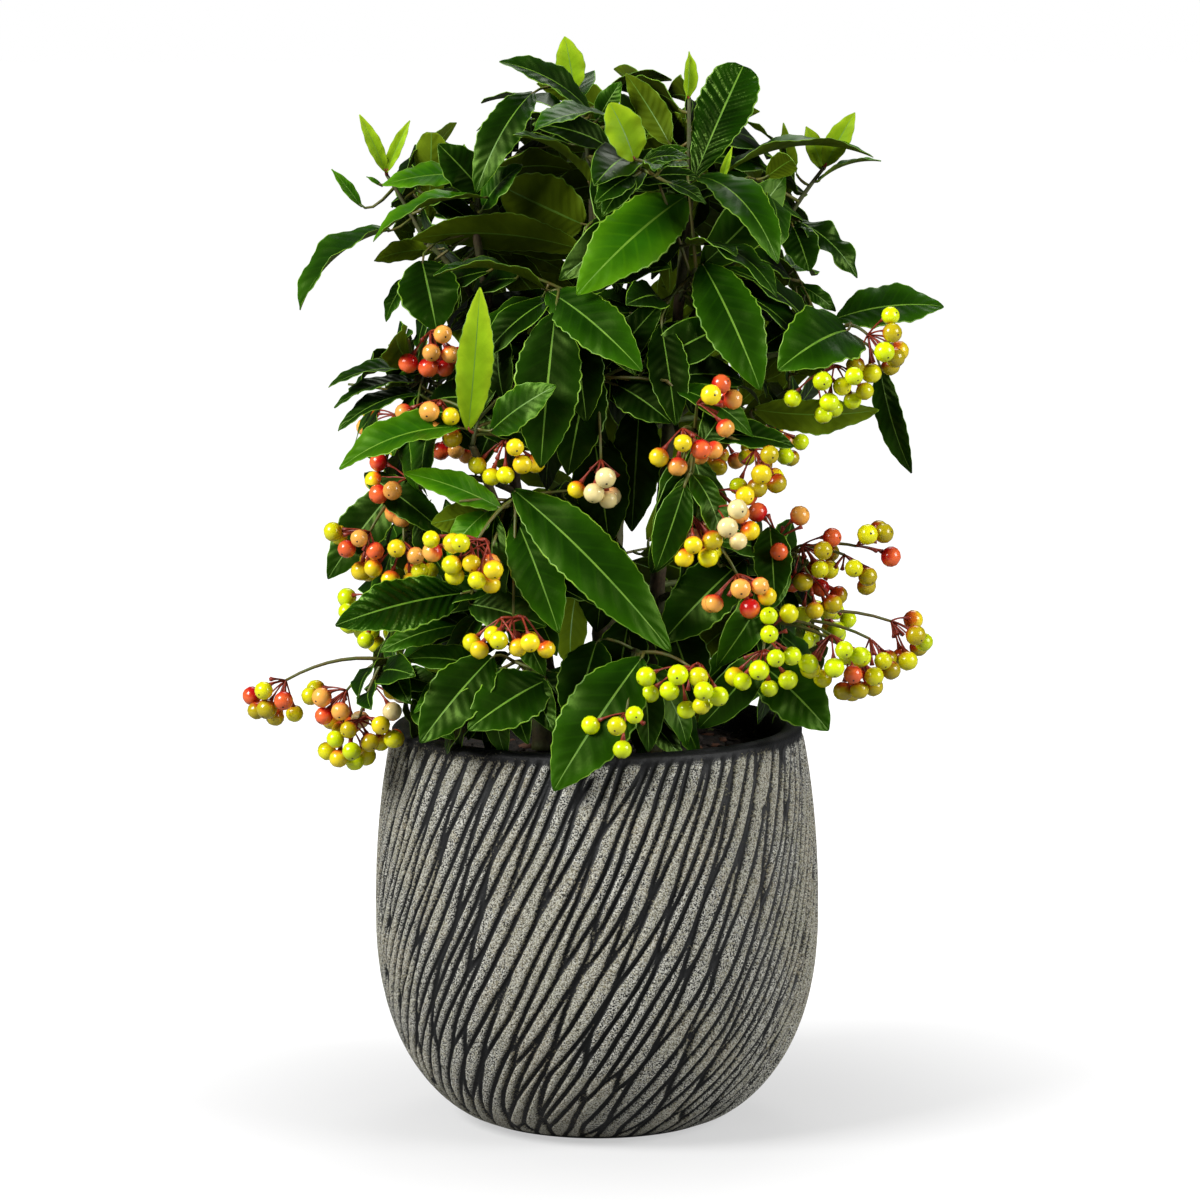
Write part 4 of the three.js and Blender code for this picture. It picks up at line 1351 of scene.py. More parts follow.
        Umbel((67, -105, 288), (4, -5, -11), 6, Mix.CORAL),
    )),
    Shoot("right_mid", MIDDLE, "right", 0.4, (96, -48, 291), 4, 46, 73, (84, -42, 290), blades=(
        Blade((84, -62, 306), (86, -82, 271), 19, 0, DARK, arch=0.6),
    ), umbels=(
        Umbel((88, -60, 300), (0, -4, 6), 3, Mix.SCARLET),
        Umbel((100, -55, 296), (9, -5, -12), 8, Mix.RUSSET),
        Umbel((127, -50, 295), (8, -2, 2), 4, Mix.RUSSET),
        Umbel((121, -52, 291), (4, -3, -9), 4, Mix.RUSSET),
        Umbel((104, -55, 281), (3, -5, -9), 5, Mix.OLIVE),
    )),
    Shoot("right_low", SKIRT, "right", 0.28, (86, -60, 258), 4, 50, 79, (68, -54, 262), blades=(
        Blade((78, -60, 240), (113, -72, 207), 30, 0, MID, arch=0.7),
        Blade((72, -60, 290), (31, -74, 250), 30, 0, DARK, arch=0.6),
    ), umbels=(
        Umbel((144, -50, 258), (9, -1, -8), 6, Mix.OLIVE),
        Umbel((81, -95, 256), (5, -6, 5), 4, Mix.LIME),
        Umbel((113, -85, 256), (2, -4, -9), 7, Mix.LIME),
        Umbel((123, -75, 246), (1, -3, -9), 8, Mix.RUSSET),
        Umbel((80, -95, 250), (-1, -4, -9), 6, Mix.LIME),
        Umbel((133, -62, 251), (4, -3, -9), 4, Mix.RUSSET),
    )),
    Shoot("quilt", SKIRT, "front", 0.48, (-60, -74, 276), 5, 50, 83, blades=(
        Blade((-64, -75, 275), (-126, -97, 262), 30, 8, QUILTED, arch=0.5, fold=0.12),
        Blade((-62, -78, 270), (-24, -100, 262), 20, 0, DARK, arch=0.6),
    )),
    Shoot("left_lowest", SKIRT, "left", 0.22, (-106, -46, 238), 2, 44, 89, (-92, -42, 240), blades=(
        Blade((-66, -50, 256), (-106, -60, 244), 18, 20, MID, arch=0.7),
    ), umbels=(
        Umbel((-153, -45, 228), (-9, -3, -9), 8, Mix.RUSSET),
        Umbel((-123, -45, 223), (-13, -3, -10), 8, Mix.BLUSHED),
        Umbel((-117, -50, 209), (2, -5, -12), 12, Mix.LEMON),
        Umbel((-111, -42, 226), (7, -3, -9), 4, Mix.CREAM),
    )),
    Shoot("skirt_left", SKIRT, "front", 0.3, (-40, -78, 242), 4, 46, 97, blades=(
        Blade((-50, -86, 246), (-85, -104, 206), 28, 0, DARK, arch=0.6),
        Blade((-24, -84, 234), (-62, -108, 213), 30, 0, DARK, arch=0.7),
    )),
    Shoot("skirt_centre", SKIRT, "right", 0.22, (22, -86, 247), 4, 48, 101, (16, -64, 246), blades=(
        Blade((22, -96, 247), (-21, -113, 184), 36, 0, MID, arch=0.6, fold=0.15),
        Blade((0, -76, 252), (-12, -98, 211), 27, 0, DARK, arch=0.6),
        Blade((16, -58, 262), (8, -66, 216), 26, 0, SHADED, arch=0.5),
        Blade((34, -54, 262), (50, -62, 216), 26, 0, SHADED, arch=0.5),
        Blade((6, -40, 300), (0, -48, 252), 28, 0, SHADED, arch=0.5),
    ), umbels=(
        Umbel((14, -112, 222), (-3, -6, -6), 4, Mix.LIME),
        Umbel((45, -105, 243), (-1, -7, -10), 10, Mix.LIME),
    )),
    Shoot("back_mid_left", BACK, "left", 0.62, (-88, 58, 358), 8, 54, 103, (-76, 44, 352), umbels=(
        Umbel((-104, 76, 348), (-4, 4, -9), 8, Mix.GOLD),
        Umbel((-72, 92, 344), (-2, 5, -9), 7, Mix.CORAL),
    )),
    Shoot("back_mid", BACK, "back", 0.66, (2, 106, 374), 8, 56, 107, (6, 92, 366), umbels=(
        Umbel((-22, 122, 356), (-2, 5, -9), 7, Mix.CORAL),
        Umbel((28, 122, 352), (2, 5, -9), 8, Mix.OLIVE),
    )),
    Shoot("back_mid_right", BACK, "back", 0.56, (74, 80, 352), 8, 52, 109, (62, 70, 346), umbels=(
        Umbel((88, 86, 340), (4, 4, -9), 7, Mix.OLIVE),
        Umbel((62, 108, 338), (2, 5, -9), 8, Mix.GOLD),
    )),
    Shoot("back_low_left", BACK, "left", 0.34, (-86, 60, 264), 8, 52, 113, (-72, 50, 262), umbels=(
        Umbel((-112, 62, 252), (-5, 3, -9), 9, Mix.LIME),
        Umbel((-80, 96, 250), (-3, 5, -9), 7, Mix.GOLD),
    )),
    Shoot("back_low", BACK, "back", 0.34, (-4, 102, 268), 8, 52, 127, (0, 88, 266), umbels=(
        Umbel((-32, 120, 256), (-2, 5, -9), 8, Mix.GOLD),
        Umbel((24, 122, 250), (2, 5, -9), 8, Mix.LIME),
    )),
    Shoot("back_low_right", BACK, "back", 0.26, (84, 66, 262), 8, 52, 131, (70, 58, 260), umbels=(
        Umbel((112, 62, 252), (5, 3, -9), 8, Mix.LIME),
        Umbel((80, 98, 250), (3, 5, -9), 8, Mix.OLIVE),
    )),
)


# The crown's outline from the front, within the source's: height, left edge and right edge
CROWN_OUTLINE = (
    (190, -112, 112), (225, -120, 120), (285, -122, 112), (305, -116, 88), (335, -118, 84), (370, -128, 120),
    (400, -98, 120), (430, -100, 118), (470, -108, 112), (495, -88, 98), (520, -48, 62), (526, -20, 20),
)
CROWN_DEPTH = 138.0


def inside_crown(places: np.ndarray) -> bool:
    """Tests whether points lie in the crown.

    Args:
        places: The points.

    Returns:
        True where all of them do.
    """
    levels, lefts, rights = np.array(CROWN_OUTLINE, float).T
    heights = places[:, 2]
    if heights.min() < levels[0] or heights.max() > levels[-1]:
        return False
    left, right = np.interp(heights, levels, lefts), np.interp(heights, levels, rights)
    return bool(np.all((places[:, 0] > left) & (places[:, 0] < right) & (abs(places[:, 1]) < CROWN_DEPTH)))


def masses(region: Region, fruiting: bool = False) -> list[str]:
    """The nodes of a region's shoots, or only of those that fruit."""
    return [shoot.name for shoot in SHOOTS if shoot.region is region and (shoot.umbels or not fruiting)]


def bundles(kind: str, finishes: Iterable[Finish], layer: str = LEAF_MAP) -> dict[Region, Bundle]:
    """A bundle for each region, for one kind of shapes."""
    return {region: Bundle(f"{kind}_{region.value}", finishes, layer) for region in Region}


def grid(across: np.ndarray, along: np.ndarray) -> tuple[np.ndarray, np.ndarray]:
    """Every pair of places across and along a blade, as a row of each."""
    pairs = np.meshgrid(across, along)
    return pairs[0].ravel(), pairs[1].ravel()


@dataclass
class Spray:
    """A leafy twig: its middle line, and its leaves' number and length."""

    shoot: Shoot
    twig: Arch
    leaves: int
    length: float


@dataclass
class Foliage:
    """The leaves and twigs of every shoot, grown by the source's rule on finer twigs."""

    view: FrontView
    lean: float = 0.75
    lean_down: float = 0.75
    lean_spread: float = 0.5
    droop: float = 0.25
    droop_down: float = 0.35
    along: float = 0.75
    slimness: float = 0.40
    length_spread: float = 0.4
    arches: tuple[float, float] = (0.6, 1.2)
    folds: tuple[float, float] = (0.12, 0.37)
    waves: tuple[float, float] = (0.06, 0.18)
    looks_out: float = 0.8
    looks_up: float = 0.6
    dark_share: float = 0.62
    stalk_sink: float = 2.5
    stalk_bend: float = 0.45
    tries: int = 14
    least_leaves: int = 3
    more_leaves: int = 3
    side_twigs: int = 3
    side_twig_share: float = 0.55
    side_twig_lift: float = 8.0
    side_leaves: int = 5
    side_leaf_share: float = 0.9
    most_hidden: float = 0.12
    # Painted shade: the tone of ruled leaves at the crown's middle axis.
    painted_shade_core_tone: float = 0.28
    shown_tones: float = 0.3
    ruled_tones: float = 0.5
    # Painted shade: how far out from the axis ruled leaves keep darkening, in millimetres.
    outer: float = 115.0
    berry_room: float = 6.0
    berry_reach: float = 3.5
    shown_seed: int = 7

    def __post_init__(self) -> None:
        """Prepares the forms and the pieces to be filled."""
        self.sight = Sight(self.view)
        self.fine_blade = BladeForm((-1, -0.96, -0.5, -0.032, 0.032, 0.5, 0.96, 1), 40)
        self.plain_blade = BladeForm((-1, -0.96, -0.035, 0.035, 0.96, 1), 12)
        self.twig_rod = Rod(7, 8)
        self.stalk_rod = Rod(5, 4)
        self.leaves = bundles("leaves", LEAF_FINISHES)
        self.twigs = bundles("twigs", STALK_FINISHES)
        self.berries = np.empty((0, 3))
        self.cover = grid(np.linspace(-0.95, 0.95, 13), np.linspace(0.02, 0.98, 40))
        self.tests = grid(np.array([-0.9, 0.0, 0.9]), np.linspace(0.16, 0.97, 6))
        self.thicket = Thicket([(i, i + 1, i + 4, i + 3) for i in range(15) if i % 3 < 2])

    def places(self, blade: Blade, pairs: tuple[np.ndarray, np.ndarray]) -> np.ndarray:
        """Points in the middle of a blade's thickness."""
        return blade.laid(*pairs, np.zeros(len(pairs[0])))

    def grow(self, shoot: Shoot, blade: Blade, twig: Arch, form: BladeForm, tone: float) -> None:
        """Adds a leaf with its stalk.

        Args:
            shoot: Its shoot.
            blade: Its blade.
            twig: Its twig.
            form: The fine or the plain blade.
            tone: How light it is beside its like; for ruled leaves it also holds painted shade towards the
                crown's middle.
        """
        self.leaves[shoot.region].add(form.form, form.laid(blade), blade.zones(), tone)
        root = twig.point(twig.nearest(blade.start))
        way = unit(self.places(blade, (np.zeros(1), np.full(1, 0.1)))[0] - blade.start)
        inside = blade.start + way * self.stalk_sink
        span = float(np.linalg.norm(inside - root))
        stalk = Arch(root, inside - way * span * self.stalk_bend, inside)
        corners = self.stalk_rod.laid(stalk, tapered(*LEAF_STALK_RADII))
        finish = RED_STALK if blade.shade is Shade.YOUNG else GREEN_STALK
        self.twigs[shoot.region].add(self.stalk_rod.form, corners, [finish])
        self.thicket.add(self.places(blade, self.tests))

    def add_shown(self) -> None:
        """Adds the leaves that are placed one by one."""
        draws = Draws(self.shown_seed)
        for shoot in SHOOTS:
            twig = shoot.twig()
            for blade in shoot.blades:
                self.grow(shoot, blade, twig, self.fine_blade, draws.around(1, self.shown_tones))
                self.sight.protect(self.places(blade, self.cover))

    def keep_berries_clear(self, centres: np.ndarray) -> None:
        """Notes where berries hang, so that leaves neither cut nor hide them.

        Args:
            centres: The middles of the berries.
        """
        self.berries = centres
        for way in np.vstack([np.eye(3), -np.eye(3)]):
            self.sight.protect(centres + way * self.berry_reach)

    def ruled(self, spray: Spray, i: int, draws: Draws) -> Blade:
        """A leaf down the spiral of a twig: upright at the tip, and drooping lower down.

        Args:
            spray: Its twig.
            i: Its number down the spiral.
            draws: The shoot's draws.

        Returns:
            The blade.
        """
        age = (i + 0.5) / spray.leaves
        axis = spray.twig.way(1)
        across = unit(np.cross(axis, FRONT))
        lean = self.lean + self.lean_down * age + self.lean_spread * (draws.next() - 0.5)
        way = turned(across, axis, i * GOLDEN_ANGLE + math.tau * draws.next())
        reach = axis * math.cos(lean) + way * math.sin(lean)
        reach[2] -= self.droop + self.droop_down * age
        reach = unit(reach) * draws.around(spray.length, self.length_spread)
        base = spray.twig.point(1 - self.along * age) + unit(reach) * LEAF_STALK
        outward = base + reach / 2
        outward[2] = 0
        looks = unit(outward) * self.looks_out + UP * self.looks_up
        shade = Shade.DARK if draws.next() < self.dark_share else Shade.MID
        return Blade(
            tuple(base), tuple(base + reach), float(np.linalg.norm(reach)) * self.slimness, shade=shade,
            arch=draws.between(*self.arches), fold=draws.between(*self.folds),
            wave=draws.between(*self.waves), looks=tuple(looks),
        )

    def fits(self, blade: Blade) -> bool:
        """Tests a leaf.

        Args:
            blade: Its blade.

        Returns:
            True where it stays in the crown, and cuts and hides nothing.
        """
        places = self.places(blade, self.tests)
        if not inside_crown(places) or self.sight.hides(places) > self.most_hidden:
            return False
        if np.linalg.norm(places[:, None] - self.berries, axis=2).min(initial=math.inf) < self.berry_room:
            return False
        return not self.thicket.meets(places)

    def side_sprays(self, shoot: Shoot, draws: Draws) -> list[Spray]:
        """The finer twigs of a shoot, each with a few leaves.

        Args:
            shoot: The shoot.
            draws: Its draws.

        Returns:
            Those that end in the crown and hide nothing.
        """
        sprays = []
        main = Spray(shoot, shoot.twig(), self.side_twigs, shoot.length * self.side_twig_share)
        for i in range(self.side_twigs):
            blade = self.ruled(main, i, draws)
            start = main.twig.point(main.twig.nearest(blade.start))
            end = np.array(blade.tip) + UP * self.side_twig_lift
            if inside_crown(end[None]) and self.sight.hides(end[None]) == 0:
                twig = Arch.between(start, end, TWIG_RISE)
                sprays.append(Spray(shoot, twig, self.side_leaves, shoot.length * self.side_leaf_share))
        return sprays

    def add_ruled(self) -> int:
        """Grows what the rule gives every shoot.

        Returns:
            The number of leaves grown.
        """
        total = 0
        for shoot in SHOOTS:
            draws = Draws(shoot.seed)
            leaves = max(shoot.leaves, self.least_leaves) + self.more_leaves
            main = Spray(shoot, shoot.twig(), leaves, shoot.length)
            for spray in [main, *self.side_sprays(shoot, draws)]:
                grown = sum(self.try_leaf(spray, i, draws) for i in range(spray.leaves))
                if spray is main:
                    self.add_twig(spray, TWIG_RADII, BROWN_TWIG)
                elif grown:
                    self.add_twig(spray, SIDE_TWIG_RADII, GREEN_STALK)
                total += grown
        return total

    def try_leaf(self, spray: Spray, i: int, draws: Draws) -> bool:
        """Grows one leaf at the first place that fits.

        Args:
            spray: Its twig.
            i: Its number down the spiral.
            draws: The shoot's draws.

        Returns:
            True where it has grown.
        """
        for _ in range(self.tries):
            blade = self.ruled(spray, i, draws)
            if self.fits(blade):
                # Painted shade: ruled leaves darken towards the crown's middle, down to the core tone at its
                # axis and to full tone from outer millimetres out.
                middle = (blade.start + blade.tip) / 2
                out = min(1.0, math.hypot(middle[0], middle[1]) / self.outer)
                tone = draws.around(self.painted_shade_core_tone + (1 - self.painted_shade_core_tone) * out, self.ruled_tones)
                self.grow(spray.shoot, blade, spray.twig, self.plain_blade, tone)
                return True
        return False

    def add_twig(self, spray: Spray, radii: tuple[float, float], finish: Finish) -> None:
        """Adds the twig of a spray, with its radii at root and tip."""
        corners = self.twig_rod.laid(spray.twig, tapered(*radii))
        self.twigs[spray.shoot.region].add(self.twig_rod.form, corners, [finish])

    def build(self) -> None:
        """Makes the pieces."""
        for region in Region:
            self.leaves[region].build("leaves", masses(region))
            self.twigs[region].build("bark", masses(region))


# Fruit


class BerryForm:
    """A round berry with a small pip where its flower was: a profile spun about its own axis."""

    STEPS = 12
    POLES = (0.0, 6.5, 28.0, 54.0, 80.0, 106.0, 132.0, 158.0, 180.0)
    SQUATNESS = 0.96
    PIP_DENT, PIP_SPREAD = 0.07, 12
    STALK_DENT, STALK_SPREAD = 0.05, 20
    PIP_HEIGHT, PIP_RADIUS = -0.85, 0.1

    def __init__(self) -> None:
        """Makes the berry, whose pip is at the bottom."""
        bm = spun([self.corner(degrees) for degrees in self.POLES], self.STEPS)
        self.form = Form.of(
            bm,
            lambda co: int(co.z < self.PIP_HEIGHT and math.hypot(co.x, co.y) < self.PIP_RADIUS),
            lambda co: (math.atan2(co.y, co.x) / math.tau + 0.5, (co.z / self.SQUATNESS + 1) / 2),
        )

    def corner(self, degrees: float) -> tuple[float, float]:
        """A corner of its section.

        Args:
            degrees: How far it lies from the pip.

        Returns:
            Its radius and its height.
        """
        angle = math.radians(degrees)
        pip = self.PIP_DENT * math.exp(-(degrees / self.PIP_SPREAD) ** 2)
        stalk = self.STALK_DENT * math.exp(-((180 - degrees) / self.STALK_SPREAD) ** 2)
        radius = 1 - (pip + stalk)
        return radius * math.sin(angle), -radius * self.SQUATNESS * math.cos(angle)

    def laid(self, centre: np.ndarray, up: np.ndarray, radius: float) -> np.ndarray:
        """The corners of a berry whose stalk meets it on the side of up."""
        across = -sideways(up)
        return centre + self.form.corners @ np.stack([across, np.cross(up, across), up]) * radius


@dataclass
class Hanging:
    """Berries while they are laid out: centres, hubs and lengths of stalks."""

    centres: np.ndarray
    hubs: np.ndarray
    stalks: np.ndarray

    SHORTEST, LONGEST = 0.9, 1.25

    def settle(self, clear: float, rounds: int) -> None:
        """Moves berries apart and back to the ends of their stalks.

        Args:
            clear: The least distance of two centres.
            rounds: How often.
        """
        for _ in range(rounds):
            gaps = self.centres[:, None] - self.centres[None]
            spans = np.linalg.norm(gaps, axis=2) + np.eye(len(self.centres)) * 1e3
            push = np.clip(clear - spans, 0, None) / 2
            self.centres += (gaps / spans[..., None] * push[..., None]).sum(1)
            out = self.centres - self.hubs
            reach = np.linalg.norm(out, axis=1, keepdims=True)
            held = np.clip(reach, self.stalks[:, None] * self.SHORTEST, self.stalks[:, None] * self.LONGEST)
            self.centres = self.hubs + out / reach * held


@dataclass
class Fruit:
    """The umbels: main stalks, side stalks and berries."""

    radius: float = 4.8
    radius_spread: float = 0.16
    stalk: float = 17.5
    stalk_spread: float = 0.3
    stalk_turns: float = 1.7
    clear: float = 9.9
    group: int = 6
    spread: float = 6.0
    fan: float = math.radians(66)
    drop: float = 1.5
    lift: float = 0.25
    sink: float = 0.93
    pedicel_rise: float = 1.6
    pedicel: tuple[float, float, float] = (0.62, 0.18, 0.75)
    branch: float = 0.75
    branch_rise: float = 0.1
    buds: int = 3
    bud_lean: tuple[float, float] = (0.3, 1.2)
    bud_reach: tuple[float, float] = (0.4, 0.8)
    bud: tuple[float, float] = (0.5, 0.8)
    bud_rise: float = 0.05
    tones: float = 0.3
    rounds: int = 60
    place_seed: int = 1000
    seed: int = 31

    def __post_init__(self) -> None:
        """Lays the berries out."""
        self.stalk_rod = Rod(6, 7)
        self.pedicel_rod = Rod(5, 5)
        self.berry = BerryForm()
        self.berries = bundles("berries", BERRY_FINISHES, BERRY_MAP)
        self.stalks = bundles("fruit_stalks", STALK_FINISHES)
        self.owners: list[tuple[Shoot, Umbel, np.ndarray]] = []
        centres, hubs, stalks = [], [], []
        for shoot in SHOOTS:
            draws = Draws(shoot.seed + self.place_seed)
            for umbel in shoot.umbels:
                for hub, centre in self.places(umbel, draws):
                    self.owners.append((shoot, umbel, hub))
                    centres.append(centre)
                    hubs.append(hub)
                    stalks.append(draws.around(self.stalk, self.stalk_spread))
        self.hanging = Hanging(np.array(centres), np.array(hubs), np.array(stalks))
        self.hanging.settle(self.clear, self.rounds)

    def places(self, umbel: Umbel, draws: Draws) -> list[tuple[np.ndarray, np.ndarray]]:
        """The hub and first centre of each berry of an umbel.

        Args:
            umbel: The umbel.
            draws: The shoot's draws.

        Returns:
            Pairs of a hub and a centre.
        """
        hub, hang, aside = umbel.axes()
        groups = max(1, round(umbel.count / self.group))
        found = []
        for i in range(umbel.count):
            turn = math.tau * (i % groups) / groups + draws.next()
            own = hub + turned(aside, hang, turn) * self.spread * (groups > 1)
            tilt = math.acos(1 - draws.next() * (1 - math.cos(self.fan)))
            way = turned(hang, turned(aside, hang, i * GOLDEN_ANGLE * self.stalk_turns), tilt)
            found.append((own, own + way * self.stalk - UP * self.drop))
        return found

    def add_stalk(self, shoot: Shoot, rod: Rod, curve: Arch, radius: Callable[[float], float],
                  finish: Finish = RED_STALK) -> None:
        """Adds one stalk of a shoot: a rod along its middle line, with its radius at a share of that."""
        self.stalks[shoot.region].add(rod.form, rod.laid(curve, radius), [finish])

    def pedicel_radius(self, share: float) -> float:
        """The radius of a berry's stalk, with a waist and a cup under the berry."""
        root, waist, cup = self.pedicel
        return root - waist * math.sin(math.pi * share) + cup * share ** 9

    def bud_radius(self, share: float) -> float:
        """The radius of a bare stalk that swells at its end."""
        return self.bud[0] + self.bud[1] * share ** 5

    def add_berry(self, number: int, draws: Draws) -> None:
        """Adds a berry with its stalk.

        Args:
            number: Its number.
            draws: Numbers for its size and tone.
        """
        shoot, umbel, hub = self.owners[number]
        centre = self.hanging.centres[number]
        up = unit(unit(hub - centre) + UP * self.lift)
        radius = draws.around(self.radius, self.radius_spread)
        ripeness = umbel.mix.value[number % len(umbel.mix.value)]
        corners = self.berry.laid(centre, up, radius)
        tone = draws.around(1, self.tones)
        self.berries[shoot.region].add(self.berry.form, corners, [ripeness.value, PIP], tone)
        end = centre + up * radius * self.sink
        pedicel = Arch(hub, (hub + end) / 2 + UP * self.pedicel_rise, end)
        self.add_stalk(shoot, self.pedicel_rod, pedicel, self.pedicel_radius)

    def add_umbel(self, shoot: Shoot, umbel: Umbel, draws: Draws) -> None:
        """Adds the stalks of an umbel: the main one, bare ones where no berry has set, and branches.

        Args:
            shoot: Its shoot.
            umbel: The umbel.
            draws: Numbers for the bare stalks.
        """
        hub, hang, aside = umbel.axes()
        twig = shoot.twig()
        root = twig.point(min(0.9, max(0.1, twig.nearest(hub))))
        stalk = Arch.between(root, hub, UMBEL_STALK_RISE)
        self.add_stalk(shoot, self.stalk_rod, stalk, tapered(*UMBEL_STALK_RADII), GREEN_STALK)
        for _ in range(self.buds):
            turn = turned(aside, hang, math.tau * draws.next())
            way = turned(hang, turn, draws.between(*self.bud_lean))
            end = hub + way * self.stalk * draws.between(*self.bud_reach)
            self.add_stalk(shoot, self.pedicel_rod, Arch.between(hub, end, self.bud_rise), self.bud_radius)
        for side in sorted({tuple(own) for _, bunch, own in self.owners if bunch is umbel}):
            if np.linalg.norm(np.array(side) - hub) > 1:
                branch = Arch.between(hub, np.array(side), self.branch_rise)
                self.add_stalk(shoot, self.pedicel_rod, branch, lambda share: self.branch)

    def build(self) -> None:
        """Makes the berries, their side stalks and the umbels' main stalks."""
        draws = Draws(self.seed)
        for number in range(len(self.owners)):
            self.add_berry(number, draws)
        for shoot in SHOOTS:
            for umbel in shoot.umbels:
                self.add_umbel(shoot, umbel, draws)
        for region in Region:
            if masses(region, True):
                self.berries[region].build("fruiting", masses(region, True))
                self.stalks[region].build("fruiting", masses(region, True))


# Stems and boughs


@dataclass(frozen=True)
class Limb:
    """A stem or bough, with leaf scars, pores and shallow furrows in its bark; a level one has level cuts."""

    name: str
    node: str
    curve: Arch
    radius: Callable[[float], float]
    rod: Rod
    bark: BarkFinish
    level: bool = False

    SCAR_PITCH, SCAR_WIDTH, SCAR_HEIGHT = 17.0, 0.09, 0.32
    SCAR_SWAY, SCAR_PACE = 0.12, 40.0
    FURROWS, FURROW_DEPTH = 5, 0.16
    FURROW_SWAY, FURROW_PACE = 3.0, 0.11
    LUMP, LUMP_SCALE = 0.25, 0.22
    FADE = 3.0

    def relief(self, corners: np.ndarray, length: float) -> np.ndarray:
        """How far its bark stands out.

        Args:
            corners: The corners of the smooth limb.
            length: Its length.

        Returns:
            The height at each corner.
        """
        shares = self.rod.form.shares[:, 1]
        sway = self.SCAR_SWAY * np.sin(shares * self.SCAR_PACE)
        steps = (shares * length / self.SCAR_PITCH + sway) % 1 - 0.5
        scars = np.exp(-(steps / self.SCAR_WIDTH) ** 2)
        sway = self.FURROW_SWAY * np.sin(shares * length * self.FURROW_PACE)
        furrows = np.sin(self.rod.angle * self.FURROWS + sway)
        lumps = np.array([noise.noise(Vector(corner) * self.LUMP_SCALE) for corner in corners])
        ends = np.clip(np.minimum(shares, 1 - shares) * length / self.FADE, 0, 1)
        return (scars * self.SCAR_HEIGHT + furrows * self.FURROW_DEPTH + lumps * self.LUMP) * ends

    def build(self) -> None:
        """Makes it."""
        corners = self.rod.laid(self.curve, self.radius, self.level)
        out = corners - self.curve.points(self.rod.form.shares[:, 1])
        spans = np.maximum(np.linalg.norm(out, axis=1, keepdims=True), 1e-6)
        relief = self.relief(corners, float(np.linalg.norm(self.curve.end - self.curve.start)))
        corners = corners + out / spans * relief[:, None] * np.minimum(spans / self.FADE, 1)
        bundle = Bundle(self.name, [self.bark])
        bundle.add(self.rod.form, corners, [self.bark])
        bundle.build("bark", [self.node])


def build_clump() -> None:
    """Makes every stem and bough."""
    stem_rod, bough_rod = Rod(18, 110), Rod(12, 34)
    for stem in STEMS.values():
        name, node = f"bark_{stem.name}", f"stem_{stem.name}"
        Limb(name, node, stem.curve(), stem.radius, stem_rod, STEM_BARK, True).build()
    for shoot in SHOOTS:
        if shoot.bough:
            name, node = f"bough_{shoot.name}", f"{shoot.name}_bough"
            Limb(name, node, shoot.limb(), tapered(*BOUGH_RADII), bough_rod, BOUGH_BARK).build()


# Planter and peat


